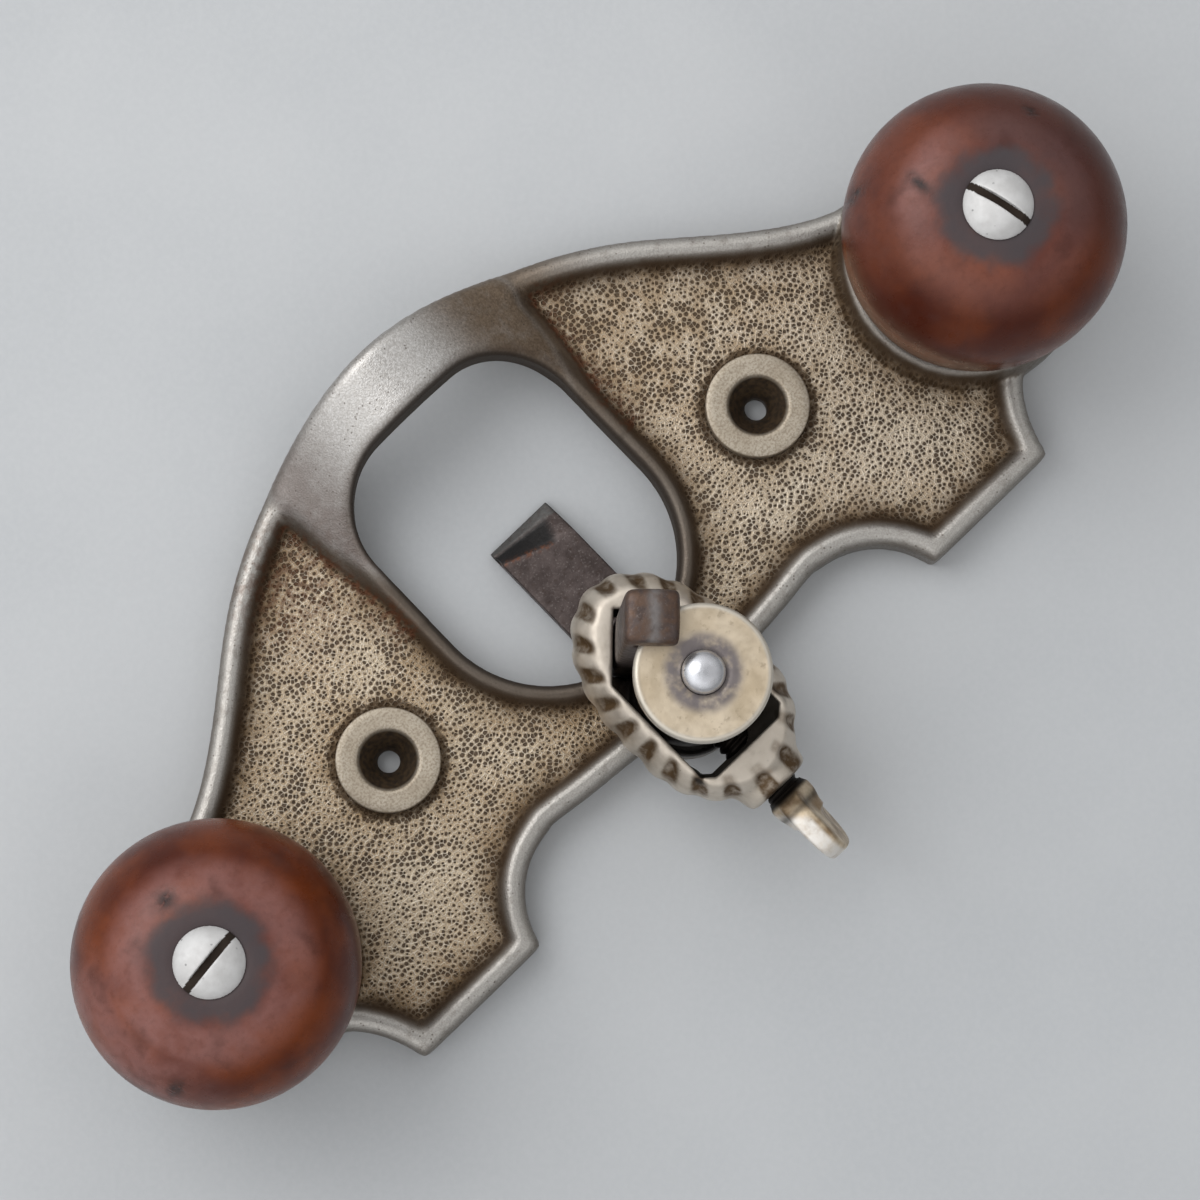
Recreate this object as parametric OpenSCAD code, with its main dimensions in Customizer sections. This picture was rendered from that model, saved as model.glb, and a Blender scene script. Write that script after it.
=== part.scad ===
// Hand router plane: an arched open-throat sole with two knobs, a square-shanked cutter
// clamped to a post by a collar and thumbscrew, and a nut on a stud that sets its depth.
// Origin on the sole face, midway between the knob axes. +X to the right knob,
// +Y to the arched front, +Z up. Millimetres.

/* [Sole] */
// Length of the sole over its two round ends
sole_length = 190.5; // [184:0.5:198]
// Diameter of the round ends that carry the knobs
lobe_d = 38.5; // [37:0.25:40]
// Distance from the knob line back to the rear edge
rear_depth = 30; // [28.5:0.25:32]
// Distance from the knob line forward to the front of the arch
front_depth = 50.6; // [49:0.2:52]
// Radius of the front edge seen from above
front_r = 70; // [66:0.5:74]
// Thickness of the recessed panels
panel_t = 4.2; // [3.2:0.1:5]
// Height of the rims above the sole face
rim_h = 7; // [6.4:0.1:7.4]
// Width of the rim along the outer edges
rim_w = 3.6; // [3:0.1:4.2]
// Width of the bead along the throat
bead_w = 3.2; // [2.6:0.1:4]
// Width of the bevel on the rims' edges
rim_bevel = 0.8; // [0.4:0.1:1.2]
// Radius of the finger scallops in the rear edge
scallop_r = 13.5; // [12:0.1:14.5]
// Distance of each scallop's centre from the middle
scallop_x = 27.4; // [26:0.2:29]
// Radius of the hollow beside each knob's lobe
flare_r = 19.4; // [18:0.2:21]

/* [Throat and arch] */
// Width of the throat
throat_w = 38.8; // [36:0.2:41]
// Distance from the knob line to the centre of the throat's round rear end
throat_y = 11; // [10:0.2:12]
// Distance from the knob line to the throat's front edge
throat_front = 39.5; // [38:0.2:41]
// Radius of the throat's front corners
throat_corner_r = 12; // [9:0.2:14]
// Height of the arch's crest
arch_top = 21; // [18.5:0.25:24]
// Clear height under the arch
arch_clear = 13; // [11:0.25:15]
// Width over the arch's feet
arch_w = 49; // [46:0.5:52]
// Distance from the middle at which the arch's top has flared down to the rims
arch_reach = 28; // [26.5:0.25:30]

/* [Screw bosses for a wooden sole] */
// Distance between the two screw holes
boss_spacing = 76.4; // [73:0.2:79]
// Distance of the holes in front of the knob line
boss_y = 5.5; // [4:0.25:7]
// Diameter of each boss
boss_d = 15.6; // [13:0.2:17]
// Height of each boss above the sole face
boss_h = 6.6; // [5.5:0.1:7.4]
// Diameter of each screw hole
hole_d = 3.4; // [3:0.1:4.5]
// Diameter of each countersink at the top
sink_d = 9.2; // [7:0.1:10.5]
// Depth of each countersink
sink_depth = 4.2; // [3:0.1:4.8]

/* [Knobs] */
// Largest diameter of a knob
knob_d = 40.8; // [38:0.2:43]
// Height of a knob above its seat
knob_h = 38; // [34:0.5:42]
// Height of the widest part above the seat
knob_belly = 23; // [20:0.5:26]
// Diameter of a knob's foot
knob_foot_d = 28; // [26:0.5:32]
// Height of the knob seats above the sole face
seat_h = 9.5; // [8.5:0.1:11]
// Diameter of the flat top of a seat
seat_d = 34.6; // [32:0.2:36]
// Diameter of a knob screw's head
head_d = 10.5; // [9:0.1:12]
// Height of a knob screw's head
head_h = 2.7; // [2:0.1:3.5]
// Diameter of a knob screw's shank
screw_d = 5.4; // [4.5:0.1:6.5]
// Width of the screwdriver slots
slot_w = 1.2; // [0.9:0.1:1.8]
// Depth of the screwdriver slots
slot_depth = 1.3; // [0.8:0.1:1.8]
// How far a knob screw's end stays above the sole face
screw_floor = 2; // [1.2:0.1:3]
// Turn of the slot in the left knob's screw
left_slot_turn = 7; // [-90:1:90]
// Turn of the slot in the right knob's screw
right_slot_turn = -76; // [-90:1:90]

/* [Cutter post and depth adjuster] */
// Distance of the post's axis behind the knob line
post_y = 18.5; // [18:0.1:19]
// Diameter of the post
post_d = 14.8; // [14:0.1:15.4]
// Height of the post's top
post_top = 30; // [27:0.5:31]
// Diameter of the tang that seats the post in the sole
tang_d = 7; // [6:0.1:7.4]
// Depth of the tang in the sole
tang_depth = 4.5; // [3.5:0.1:5.5]
// Diameter of the threaded stud
stud_d = 6.1; // [5.5:0.1:6.6]
// Height of the stud's rounded top
stud_top = 54.6; // [53.5:0.2:57]
// Length of the stud inside the post
stud_in_post = 12; // [8:0.5:15]
// Diameter of the adjusting nut
nut_d = 19.3; // [18.4:0.1:20.2]
// Height of the adjusting nut's top face at rest
nut_top = 51.8; // [50.8:0.2:52.6]
// Thickness of the nut's rim, which runs in the cutter's slot
nut_t = 3.2; // [2.4:0.1:4]
// Diameter of the hub below the nut's rim
hub_d = 8.6; // [7.8:0.1:8.8]
// Length of the hub below the nut's rim
hub_l = 4.6; // [3:0.1:5.6]

/* [Cutter] */
// Width across the flats of the square shank
shank_w = 8; // [7.4:0.1:8.4]
// Distance of the shank's axis behind the knob line
shank_y = 8.2; // [7.8:0.1:8.5]
// Height of the shank's top at rest
shank_top = 56.4; // [55.5:0.2:58]
// Width of the flat along the shank's front corner
shank_nose = 1.2; // [0.6:0.1:2]
// Width of the foot
foot_w = 11.6; // [9.6:0.2:12.4]
// Distance of the cutting edge in front of the knob line
foot_front = 17.4; // [14:0.2:20]
// Thickness of the foot
foot_t = 3.2; // [2.4:0.1:3.8]
// Height of the cutting edge above the sole face at rest
edge_up = 0.4; // [0.3:0.1:0.9]
// Length of the bevel behind the cutting edge
bevel_l = 3.2; // [2:0.1:5]

/* [Clamp collar and thumbscrew] */
// Height of the collar's top
collar_top = 22; // [20:0.25:24]
// Width of the collar over its fluted band
collar_w = 24.4; // [23:0.2:26]
// Distance of the fluted band's front in front of the knob line
collar_front = 2.8; // [2.2:0.1:3.6]
// Distance of the boss's end behind the knob line
collar_rear = 37.6; // [36:0.2:39]
// Width of the collar's opening
opening_w = 15.6; // [15:0.1:16.4]
// Distance of the opening's rear wall behind the knob line
opening_rear = 30; // [29:0.2:31]
// How far the top and bottom edges lie inside the fluted band
collar_round = 2.4; // [1.6:0.1:2.8]
// Number of flutes round the band
flute_count = 20; // [12:1:24]
// Depth of the flutes
flute_depth = 0.5; // [0.2:0.1:0.7]
// Diameter of the boss that takes the thumbscrew
collar_boss_d = 11.2; // [9.6:0.2:12.6]
// Diameter of the thumbscrew's thread
thumb_d = 5.8; // [5:0.1:6.4]
// Distance of the thumbscrew's end behind the knob line
thumb_rear = 50.6; // [48:0.2:53]
// Breadth of the thumbscrew's leaf
leaf_w = 14.5; // [11:0.5:15]
// Thickness of the thumbscrew's leaf
leaf_t = 3.6; // [2.6:0.1:4.6]
// Turn of the leaf from upright at rest
leaf_turn = 12; // [-90:1:90]

/* [Clearances] */
// Gap between a screw and its hole
screw_gap = 0.1; // [0.05:0.01:0.2]
// Gap between a pressed or threaded piece and its hole
fit_gap = 0.03; // [0.02:0.01:0.08]
// Gap on each side where pieces slide on each other
slide_gap = 0.2; // [0.1:0.05:0.35]
// Gap between the collar and the sole casting
collar_gap = 0.6; // [0.3:0.1:0.8]

/* [Hidden] */
$fn = 64;
through = 0.5;
beyond = 1;
sides = [-1, 1];
knob_x = (sole_length - lobe_d) / 2;
lobe_r = lobe_d / 2;
boss_x = boss_spacing / 2;
front_yc = front_depth - front_r;
front_end_turn = 38.5;
front_pull = 0.31;
lobe_turn = 107.4;
lobe_slope = 14.2;
lobe_lap = 0.8;
front_steps = 6;
curve_steps = 10;
scallop_drop = 2;
flare_out = 8;
flare_drop = 2.5;
web_slope = 2;
post_land = 1.4;
post_boss_r = post_d / 2 + post_land;
panel_post_gap = 1;
panel_lobe_gap = 0.4;
arch_half = arch_w / 2;
mouth_inset = 0.6;
mouth_half = throat_w / 2 - mouth_inset;
mouth_r = (pow(mouth_half, 2) + pow(arch_clear, 2)) / (2 * arch_clear);
arch_steps = 14;
arch_rear = 21;
arch_brow = 1;
arch_shoulder = throat_front + arch_brow / 2;
arch_knee_share = 0.65;
arch_knee_rise = 0.36;
arch_knee = arch_rear + arch_knee_share * (throat_front - arch_rear);
arch_knee_h = rim_h + arch_knee_rise * (arch_top - rim_h);
seat_root = 1;
seat_fillet = 0.8;
shank_half = shank_w / sqrt(2);
foot_rear = throat_y - sqrt(pow(throat_w / 2, 2) - pow(foot_w / 2, 2)) + 2 * slide_gap;
post_flat_depth = 0.5;
post_flat = post_y + post_d / 2 - post_flat_depth;
collar_bottom = rim_h + collar_gap;
screw_axis_z = (collar_bottom + collar_top) / 2;
band_front_y = 16;
band_rear_y = 22;
band_rear_inset = 1.6;
flute_points = 6;
collar_nose = shank_y - shank_half - slide_gap * sqrt(2);
thumb_tip = post_flat + fit_gap;
shoulder_gap = 1;
shoulder_l = 1.6;
shoulder_rise = 0.5;
leaf_start = collar_rear + shoulder_l;
leaf_neck = 2.4;
leaf_root = leaf_start + leaf_neck;
knob_foot_h = 1.5;
knob_land = 1;
knob_steps = 12;

// Point at t, from 0 to 1, on the cubic curve that four control points shape
function cubic(p, t) = pow(1 - t, 3) * p[0] + 3 * pow(1 - t, 2) * t * p[1]
    + 3 * (1 - t) * t * t * p[2] + pow(t, 3) * p[3];

// Right half of the front edge, moved inward by inset: an arc and then a curve to the lobe
function front_edge(inset) =
    let (n0 = [sin(front_end_turn), cos(front_end_turn)],
        t0 = [cos(front_end_turn), -sin(front_end_turn)],
        n3 = [sin(lobe_slope), cos(lobe_slope)],
        t3 = [cos(lobe_slope), -sin(lobe_slope)],
        p0 = [0, front_yc] + (front_r - inset) * n0,
        p3 = [knob_x, 0] + (lobe_r - lobe_lap) * [cos(lobe_turn), sin(lobe_turn)] - inset * n3,
        span = norm(p3 - p0) * front_pull)
    concat(
        [for (i = [0 : front_steps]) let (a = front_end_turn * i / front_steps)
            [0, front_yc] + (front_r - inset) * [sin(a), cos(a)]],
        [for (i = [1 : curve_steps])
            cubic([p0, p0 + span * t0, p3 - span * t3, p3], i / curve_steps)]);

// Plan of the casting without its lobes, moved inward by inset
module web_plan(inset) {
    mid = rear_depth + scallop_drop - scallop_r;
    half = concat(front_edge(inset), [
        [knob_x, 0], [knob_x, inset - rear_depth],
        [scallop_x, inset - rear_depth], [scallop_x, inset - mid],
        [0, inset - mid - web_slope]]);
    difference() {
        for (s = sides)
            scale([s, 1]) polygon(half);
        for (s = sides) {
            translate([s * scallop_x, -rear_depth - scallop_drop]) circle(scallop_r + inset);
            translate([s * (knob_x + flare_out), -rear_depth - flare_drop]) circle(flare_r + inset);
        }
    }
}

// Plan of the whole casting, moved inward by inset
module sole_plan(inset) {
    web_plan(inset);
    for (s = sides)
        translate([s * knob_x, 0]) circle(lobe_r - inset);
    translate([0, -post_y]) circle(post_boss_r - inset);
}

// Plan of the throat, widened by grow
module throat_plan(grow) {
    r = throat_w / 2 + grow;
    c = throat_corner_r + grow;
    cy = throat_front - throat_corner_r;
    translate([0, throat_y]) circle(r);
    translate([-r, throat_y]) square([2 * r, cy - throat_y]);
    for (s = sides)
        translate([s * (r - c), cy]) circle(c);
    translate([c - r, cy]) square([2 * (r - c), c]);
}

// Plan of the two recessed panels, moved inward by inset
module panel_plan(inset) {
    difference() {
        web_plan(rim_w + inset);
        throat_plan(bead_w + inset);
        arch_plan(inset);
        translate([0, -post_y]) circle(post_boss_r + panel_post_gap + inset);
        for (s = sides)
            translate([s * knob_x, 0]) circle(lobe_r + panel_lobe_gap + inset);
    }
}

// Plan of the arch and its feet, which narrow into the throat's bead
module arch_plan(grow) {
    foot = throat_w / 2 + bead_w + grow;
    wide = arch_half + grow;
    polygon([[-wide, front_depth + beyond], [-wide, arch_shoulder], [-foot, arch_rear],
        [foot, arch_rear], [wide, arch_shoulder], [wide, front_depth + beyond]]);
}

// Height of the arch's top at a distance x from the middle: a hump that flares into the rims
function arch_z(x) = rim_h + (arch_top - rim_h) * pow(1 - pow(x / arch_reach, 2), 2);

// The arch that carries the front of the casting over the mouth
module arch() {
    hump = [for (i = [-arch_steps : arch_steps]) let (x = arch_reach * i / arch_steps) [x, arch_z(x)]];
    intersection() {
        linear_extrude(arch_top + through) intersection() {
            sole_plan(0);
            arch_plan(0);
        }
        translate([0, front_depth + through, 0]) rotate([90, 0, 0]) linear_extrude(front_depth)
            polygon(concat([[-arch_reach, 0]], hump, [[arch_reach, 0]]));
        rotate([90, 0, 90]) linear_extrude(arch_w + 2 * beyond, center = true) polygon([
            [arch_rear, 0], [arch_rear, rim_h], [arch_knee, arch_knee_h],
            [throat_front - arch_brow, arch_top + through],
            [front_depth + beyond, arch_top + through], [front_depth + beyond, 0]]);
    }
}

// Raised seat with a rounded shoulder under a knob
module knob_seat() {
    rotate_extrude() polygon([
        [0, seat_root], [lobe_r - seat_fillet / 2, seat_root], [lobe_r - seat_fillet / 2, rim_h],
        [lobe_r - seat_fillet, rim_h + seat_fillet / 2],
        [seat_d / 2 + seat_fillet / 3, seat_h - seat_fillet / 3],
        [seat_d / 2 - seat_fillet / 2, seat_h], [0, seat_h]]);
}

// Square prism that stands on its corner, as the shank does, grown by gap on each face
module shank_prism(gap, z0, z1) {
    side = shank_w + 2 * gap;
    translate([0, -shank_y, z0]) rotate(45)
        translate([-side / 2, -side / 2, 0]) cube([side, side, z1 - z0]);
}

module base() {
    color("darkkhaki") difference() {
        union() {
            difference() {
                union() {
                    linear_extrude(rim_h - rim_bevel) sole_plan(0);
                    linear_extrude(rim_h) sole_plan(rim_bevel);
                }
                translate([0, 0, panel_t]) linear_extrude(rim_h) panel_plan(0);
                translate([0, 0, rim_h - rim_bevel]) linear_extrude(rim_h) panel_plan(-rim_bevel);
            }
            arch();
            for (s = sides) {
                translate([s * boss_x, boss_y, 0]) cylinder(d = boss_d, h = boss_h);
                translate([s * knob_x, 0, 0]) knob_seat();
            }
        }
        translate([0, 0, -through]) linear_extrude(arch_top + 2 * through) throat_plan(0);
        translate([0, front_depth + through, arch_clear - mouth_r])
            rotate([90, 0, 0]) cylinder(r = mouth_r, h = front_depth - throat_y - throat_corner_r, $fn = 128);
        shank_prism(2 * slide_gap, -through, rim_h + through);
        translate([0, -post_y, rim_h - tang_depth - fit_gap])
            cylinder(d = tang_d + 2 * fit_gap, h = tang_depth + beyond);
        for (s = sides) {
            translate([s * boss_x, boss_y, -through]) cylinder(d = hole_d, h = boss_h + beyond);
            translate([s * boss_x, boss_y, boss_h - sink_depth])
                cylinder(d1 = hole_d, d2 = sink_d, h = sink_depth);
            translate([s * boss_x, boss_y, boss_h]) cylinder(d = sink_d, h = beyond);
            translate([s * knob_x, 0, screw_floor - fit_gap])
                cylinder(d = screw_d + 2 * fit_gap, h = seat_h);
        }
    }
}

module cutter_post() {
    color("gray") difference() {
        union() {
            translate([0, -post_y, rim_h]) cylinder(d = post_d, h = post_top - rim_h);
            translate([0, -post_y, rim_h - tang_depth]) cylinder(d = tang_d, h = tang_depth + beyond);
        }
        shank_prism(slide_gap, 0, post_top + through);
        translate([-post_d / 2, -post_flat - post_d, collar_bottom])
            cube([post_d, post_d, collar_top - collar_bottom]);
        translate([0, -post_y, post_top - stud_in_post - fit_gap])
            cylinder(d = stud_d + 2 * fit_gap, h = stud_in_post + beyond);
    }
}

module adjusting_stud() {
    dome = stud_d / 4;
    cap_r = (pow(stud_d / 2, 2) + dome * dome) / (2 * dome);
    color("silver") translate([0, -post_y, 0]) {
        intersection() {
            translate([0, 0, post_top - stud_in_post])
                cylinder(d = stud_d, h = stud_top - post_top + stud_in_post);
            translate([0, 0, stud_top - cap_r]) union() {
                sphere(cap_r);
                mirror([0, 0, 1]) cylinder(r = cap_r, h = stud_top);
            }
        }
    }
}

module adjusting_nut() {
    bore = stud_d / 2 + screw_gap;
    r = nut_d / 2;
    edge = nut_t / 8;
    low = nut_top - nut_t;
    color("tan") translate([0, -post_y, 0]) rotate_extrude() polygon([
        [bore, low - hub_l], [hub_d / 2, low - hub_l], [hub_d / 2, low],
        [r - edge, low], [r, low + edge], [r, nut_top - edge], [r - edge, nut_top],
        [bore, nut_top]]);
}

module cutter() {
    toe = edge_up + foot_t;
    color("dimgray") difference() {
        union() {
            shank_prism(0, edge_up, shank_top);
            rotate([90, 0, 90]) linear_extrude(foot_w, center = true) polygon([
                [foot_rear, edge_up], [foot_front, edge_up], [foot_front, edge_up + foot_t / 5],
                [foot_front - bevel_l, toe], [foot_rear, toe]]);
        }
        translate([-foot_w / 2, shank_half - shank_y - shank_nose / 2, toe])
            cube([foot_w, foot_w, shank_top]);
        translate([0, -post_y, nut_top - nut_t - slide_gap])
            cylinder(d = nut_d + 2 * (slide_gap + screw_gap), h = nut_t + 2 * slide_gap);
    }
}

// Outline of the collar's fluted band, moved inward by inset, as points round it
function band(inset, flute) =
    let (n = flute_count * flute_points, w = collar_w / 2 - inset)
    [for (i = [0 : n - 1])
        let (a = 360 * i / n,
            ripple = -flute * (1 - cos(360 * i / flute_points)) / 2,
            front = sin(a) >= 0,
            len = (front ? collar_front + band_front_y : collar_rear - band_rear_y - band_rear_inset) - inset)
        [(w + ripple) * cos(a), (len + ripple) * sin(a) - (front ? band_front_y : band_rear_y)]];

// Solid that joins stacked outlines of equal point count
module stack_outlines(rows, heights) {
    n = len(rows[0]);
    m = len(rows);
    points = [for (k = [0 : m - 1]) for (p = rows[k]) [p[0], p[1], heights[k]]];
    walls = [for (k = [0 : m - 2]) for (i = [0 : n - 1])
        let (j = (i + 1) % n, a = k * n + i, b = k * n + j)
        each [[a, a + n, b], [b, a + n, b + n]]];
    floor_face = [for (i = [0 : n - 1]) i];
    roof_face = [for (i = [0 : n - 1]) m * n - 1 - i];
    polyhedron(points, concat(walls, [floor_face, roof_face]));
}

module clamp_collar() {
    h = collar_top - collar_bottom;
    o = opening_w / 2;
    color("antiquewhite") difference() {
        union() {
            stack_outlines(
                [band(collar_round, 0), band(collar_round / 3, flute_depth / 2),
                    band(0, flute_depth), band(collar_round / 3, flute_depth / 2),
                    band(collar_round, 0)],
                [collar_bottom, collar_bottom + h / 5, screw_axis_z,
                    collar_top - h / 5, collar_top]);
            translate([0, -opening_rear, screw_axis_z]) rotate([90, 0, 0])
                cylinder(d = collar_boss_d, h = collar_rear - opening_rear);
        }
        translate([0, 0, collar_bottom - through]) linear_extrude(h + 2 * through) polygon([
            [0, -collar_nose], [o, -collar_nose - o], [o, -opening_rear],
            [-o, -opening_rear], [-o, -collar_nose - o]]);
        translate([0, through - opening_rear, screw_axis_z]) rotate([90, 0, 0])
            cylinder(d = thumb_d + 2 * screw_gap, h = collar_rear);
    }
}

module thumbscrew() {
    r = thumb_d / 2;
    color("tan") translate([0, 0, screw_axis_z]) rotate([90, 0, 0]) {
        translate([0, 0, thumb_tip]) cylinder(d = thumb_d, h = leaf_root - thumb_tip);
        translate([0, 0, collar_rear + shoulder_gap])
            cylinder(r1 = r, r2 = r + shoulder_rise, h = shoulder_l);
        rotate(leaf_turn) intersection() {
            translate([-leaf_t / 2, -leaf_w / 2, leaf_start])
                cube([leaf_t, leaf_w, thumb_rear - leaf_start]);
            translate([-leaf_w, 0, (leaf_start + thumb_rear) / 2]) rotate([0, 90, 0])
                scale([(thumb_rear - leaf_start) / leaf_w, 1, 1]) cylinder(d = leaf_w, h = 2 * leaf_w);
        }
    }
}

// Turned knob on its seat: foot, belly and rounded top, bored for its screw
module knob() {
    r = knob_d / 2;
    foot = knob_foot_d / 2;
    top_flat = head_d / 2 + knob_land;
    bore = screw_d / 2 + screw_gap;
    flank = [for (i = [0 : knob_steps]) let (a = 90 * i / knob_steps)
        [foot + (r - foot) * sin(a), knob_foot_h + (knob_belly - knob_foot_h) * (1 - cos(a))]];
    crown = [for (i = [1 : knob_steps]) let (a = 90 * i / knob_steps)
        [top_flat + (r - top_flat) * cos(a), knob_belly + (knob_h - knob_belly) * sin(a)]];
    rotate_extrude() polygon(concat([[bore, 0], [foot, 0]], flank, crown, [[bore, knob_h]]));
}

// Round-headed slotted screw that holds a knob down
module knob_screw(turn) {
    under = seat_h + knob_h;
    cap_r = (pow(head_d / 2, 2) + head_h * head_h) / (2 * head_h);
    difference() {
        union() {
            translate([0, 0, screw_floor]) cylinder(d = screw_d, h = under - screw_floor + through);
            intersection() {
                translate([0, 0, under]) cylinder(d = head_d, h = head_h);
                translate([0, 0, under + head_h - cap_r]) sphere(cap_r);
            }
        }
        rotate(turn) translate([-head_d, -slot_w / 2, under + head_h - slot_depth])
            cube([2 * head_d, slot_w, head_h]);
    }
}

module left_knob() { color("saddlebrown") translate([-knob_x, 0, seat_h]) knob(); }
module right_knob() { color("saddlebrown") translate([knob_x, 0, seat_h]) knob(); }
module left_knob_screw() { color("gainsboro") translate([-knob_x, 0, 0]) knob_screw(left_slot_turn); }
module right_knob_screw() { color("gainsboro") translate([knob_x, 0, 0]) knob_screw(right_slot_turn); }

base();
cutter_post();
adjusting_stud();
adjusting_nut();
cutter();
clamp_collar();
thumbscrew();
left_knob();
right_knob();
left_knob_screw();
right_knob_screw();
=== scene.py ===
"""Looks of the hand router plane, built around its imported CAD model.

The sole casting, the cutter, the clamp collar, the screws' heads and the thumbscrew's leaf are meshed from
distance fields, so that their beads, coves and fillets run into each other as they do on the tool. Turned
pieces are lathed. Lengths are millimetres until a mesh is made, in the CAD frame: origin on the sole face
midway between the knobs, +X to the right knob, +Y to the arched front, +Z up.
"""

import math

import bpy
import numpy as np
from mathutils import Matrix, Vector


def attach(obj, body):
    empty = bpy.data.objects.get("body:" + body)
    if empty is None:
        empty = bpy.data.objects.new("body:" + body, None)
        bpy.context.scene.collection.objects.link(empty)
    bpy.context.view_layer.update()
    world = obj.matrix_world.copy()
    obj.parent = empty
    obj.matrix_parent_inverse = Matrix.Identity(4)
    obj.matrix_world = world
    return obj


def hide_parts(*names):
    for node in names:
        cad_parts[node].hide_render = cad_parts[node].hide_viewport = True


MM = 0.001

# Sole casting, as in the CAD model, and a height far below it where a form is absent
KNOB_X = 76.0
LOBE_R = 19.25
REAR = 30.0
FRONT = 50.6
FRONT_R = 70.0
FRONT_TURN = math.radians(38.5)
LOBE_TURN = math.radians(107.4)
LOBE_SLOPE = math.radians(14.2)
LOBE_LAP = 0.8
FRONT_PULL = 0.31
PANEL_Z = 4.2
RIM_Z = 7.0
SCALLOP = (27.4, 32.0, 13.5)
FLARE = (84.0, 32.5, 19.4)
THROAT_HALF = 19.4
THROAT_Y = 11.0
THROAT_FRONT = 39.5
THROAT_CORNER = 12.0
ARCH_TOP = 21.0
ARCH_CLEAR = 13.0
ARCH_HALF = 24.5
ARCH_REACH = 28.0
ARCH_REAR = 21.0
SEAT_R = 17.3
SEAT_Z = 9.5
POST_Y = -18.5
POST_BOSS_R = 8.8
NO_FORM = -20

# Screw bosses for a wooden sole, as in the CAD model
BOSS = (38.2, 5.5)
BOSS_Z = 6.6
BOSS_R = 7.8
SINK_R = 4.6
SINK_LOW = 2.4
HOLE_R = 1.7

# Knobs and their screws, as in the CAD model
KNOB_R = 20.4
KNOB_H = 38.0
KNOB_BELLY = 23.0
KNOB_FOOT_R = 14.0
KNOB_FOOT_H = 1.5
KNOB_FLAT_R = 6.25
HEAD_R = 5.25
HEAD_H = 2.7
SCREW_R = 2.7
SCREW_LOW = 2.0
SLOT_HALF = 0.6
SLOT_DEPTH = 1.3

# Mechanism, in line with the CAD model
STUD_R = 3.05
STUD_TOP = 54.6
NUT_R = 9.65
NUT_TOP = 51.8
NUT_T = 3.2
HUB_R = 4.3
HUB_L = 4.6
SHANK_Y = -8.2
SHANK_W = 8.0
SHANK_TOP = 56.4
EDGE_LOW = 0.4
EDGE_TOP = 1.04
FOOT_TOP = 3.6
FOOT_HALF = 5.8
FOOT_REAR = -7.1
FOOT_FRONT = 17.4
COLLAR_LOW = 7.6
COLLAR_TOP = 22.0
BAND_HALF = 12.2
FLUTES = 20
OPENING_HALF = 7.8
OPENING_NOSE = -2.26
OPENING_REAR = -30.0
SCREW_Z = 14.8
THUMB_R = 2.88
LEAF_NEAR = 39.2
LEAF_FAR = 50.6
LEAF_W = 14.5
LEAF_T = 3.6
LEAF_TURN = math.radians(12)
THREAD_PITCH = 1.27

# The photograph's camera, fitted to the tool's known points: place, rotation vector and focal length
CAMERA_AT = (-53.347, -29.607, 600.0)
CAMERA_TURN = (-0.0834982, 0.0668664, 0.7671220)
FOCAL_PIXELS = 4018.84
PHOTO_PIXELS = 1200
SENSOR_MM = 36

# Dents in the knobs' crowns: x and y from the knob's axis, and half widths
LEFT_KNOB_MARKS = ((-15.6, -9.1, 1.5, 1.0), (1.6, 10.4, 1.5, 1.2), (-5.2, 1.4, 0.5, 0.5))
RIGHT_KNOB_MARKS = ((-5.6, 9.8, 0.9, 2.0), (-11.5, 15.6, 1.6, 0.6), (13.5, 6.5, 0.6, 1.1))


# Fields and meshes


def smooth_max(a, b, k):
    """The larger of a and b, with the crease between them rounded over a width of about k."""
    return 0.5 * (a + b + np.sqrt((a - b) ** 2 + k * k))


def smooth_min(a, b, k):
    """The smaller of a and b, with the crease between them rounded over a width of about k."""
    return -smooth_max(-a, -b, k)


def ease(low, high, value):
    """0 below low, 1 above high, and a smooth step between them."""
    t = np.clip((value - low) / (high - low), 0, 1)
    return t * t * (3 - 2 * t)


def polygon_distance(points, x, y):
    """Signed distance from (x, y) to a closed outline, negative inside."""
    nearest = np.full(np.broadcast(x, y).shape, 1e9)
    inside = np.zeros(nearest.shape, bool)
    for (ax, ay), (bx, by) in zip(points, points[1:] + points[:1]):
        ex, ey = bx - ax, by - ay
        px, py = x - ax, y - ay
        t = np.clip((px * ex + py * ey) / max(ex * ex + ey * ey, 1e-12), 0, 1)
        nearest = np.minimum(nearest, (px - t * ex) ** 2 + (py - t * ey) ** 2)
        if ay != by:
            crosses = ((ay > y) != (by > y)) & (x < ex * py / ey + ax)
            inside ^= crosses
    return np.where(inside, -np.sqrt(nearest), np.sqrt(nearest))


def grid(low, high, step):
    """Coordinates of a sampling grid that covers a box, as three arrays that broadcast together."""
    axes = [np.arange(a, b + step, step) for a, b in zip(low, high)]
    return np.meshgrid(*axes, indexing="ij", sparse=True)


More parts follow.
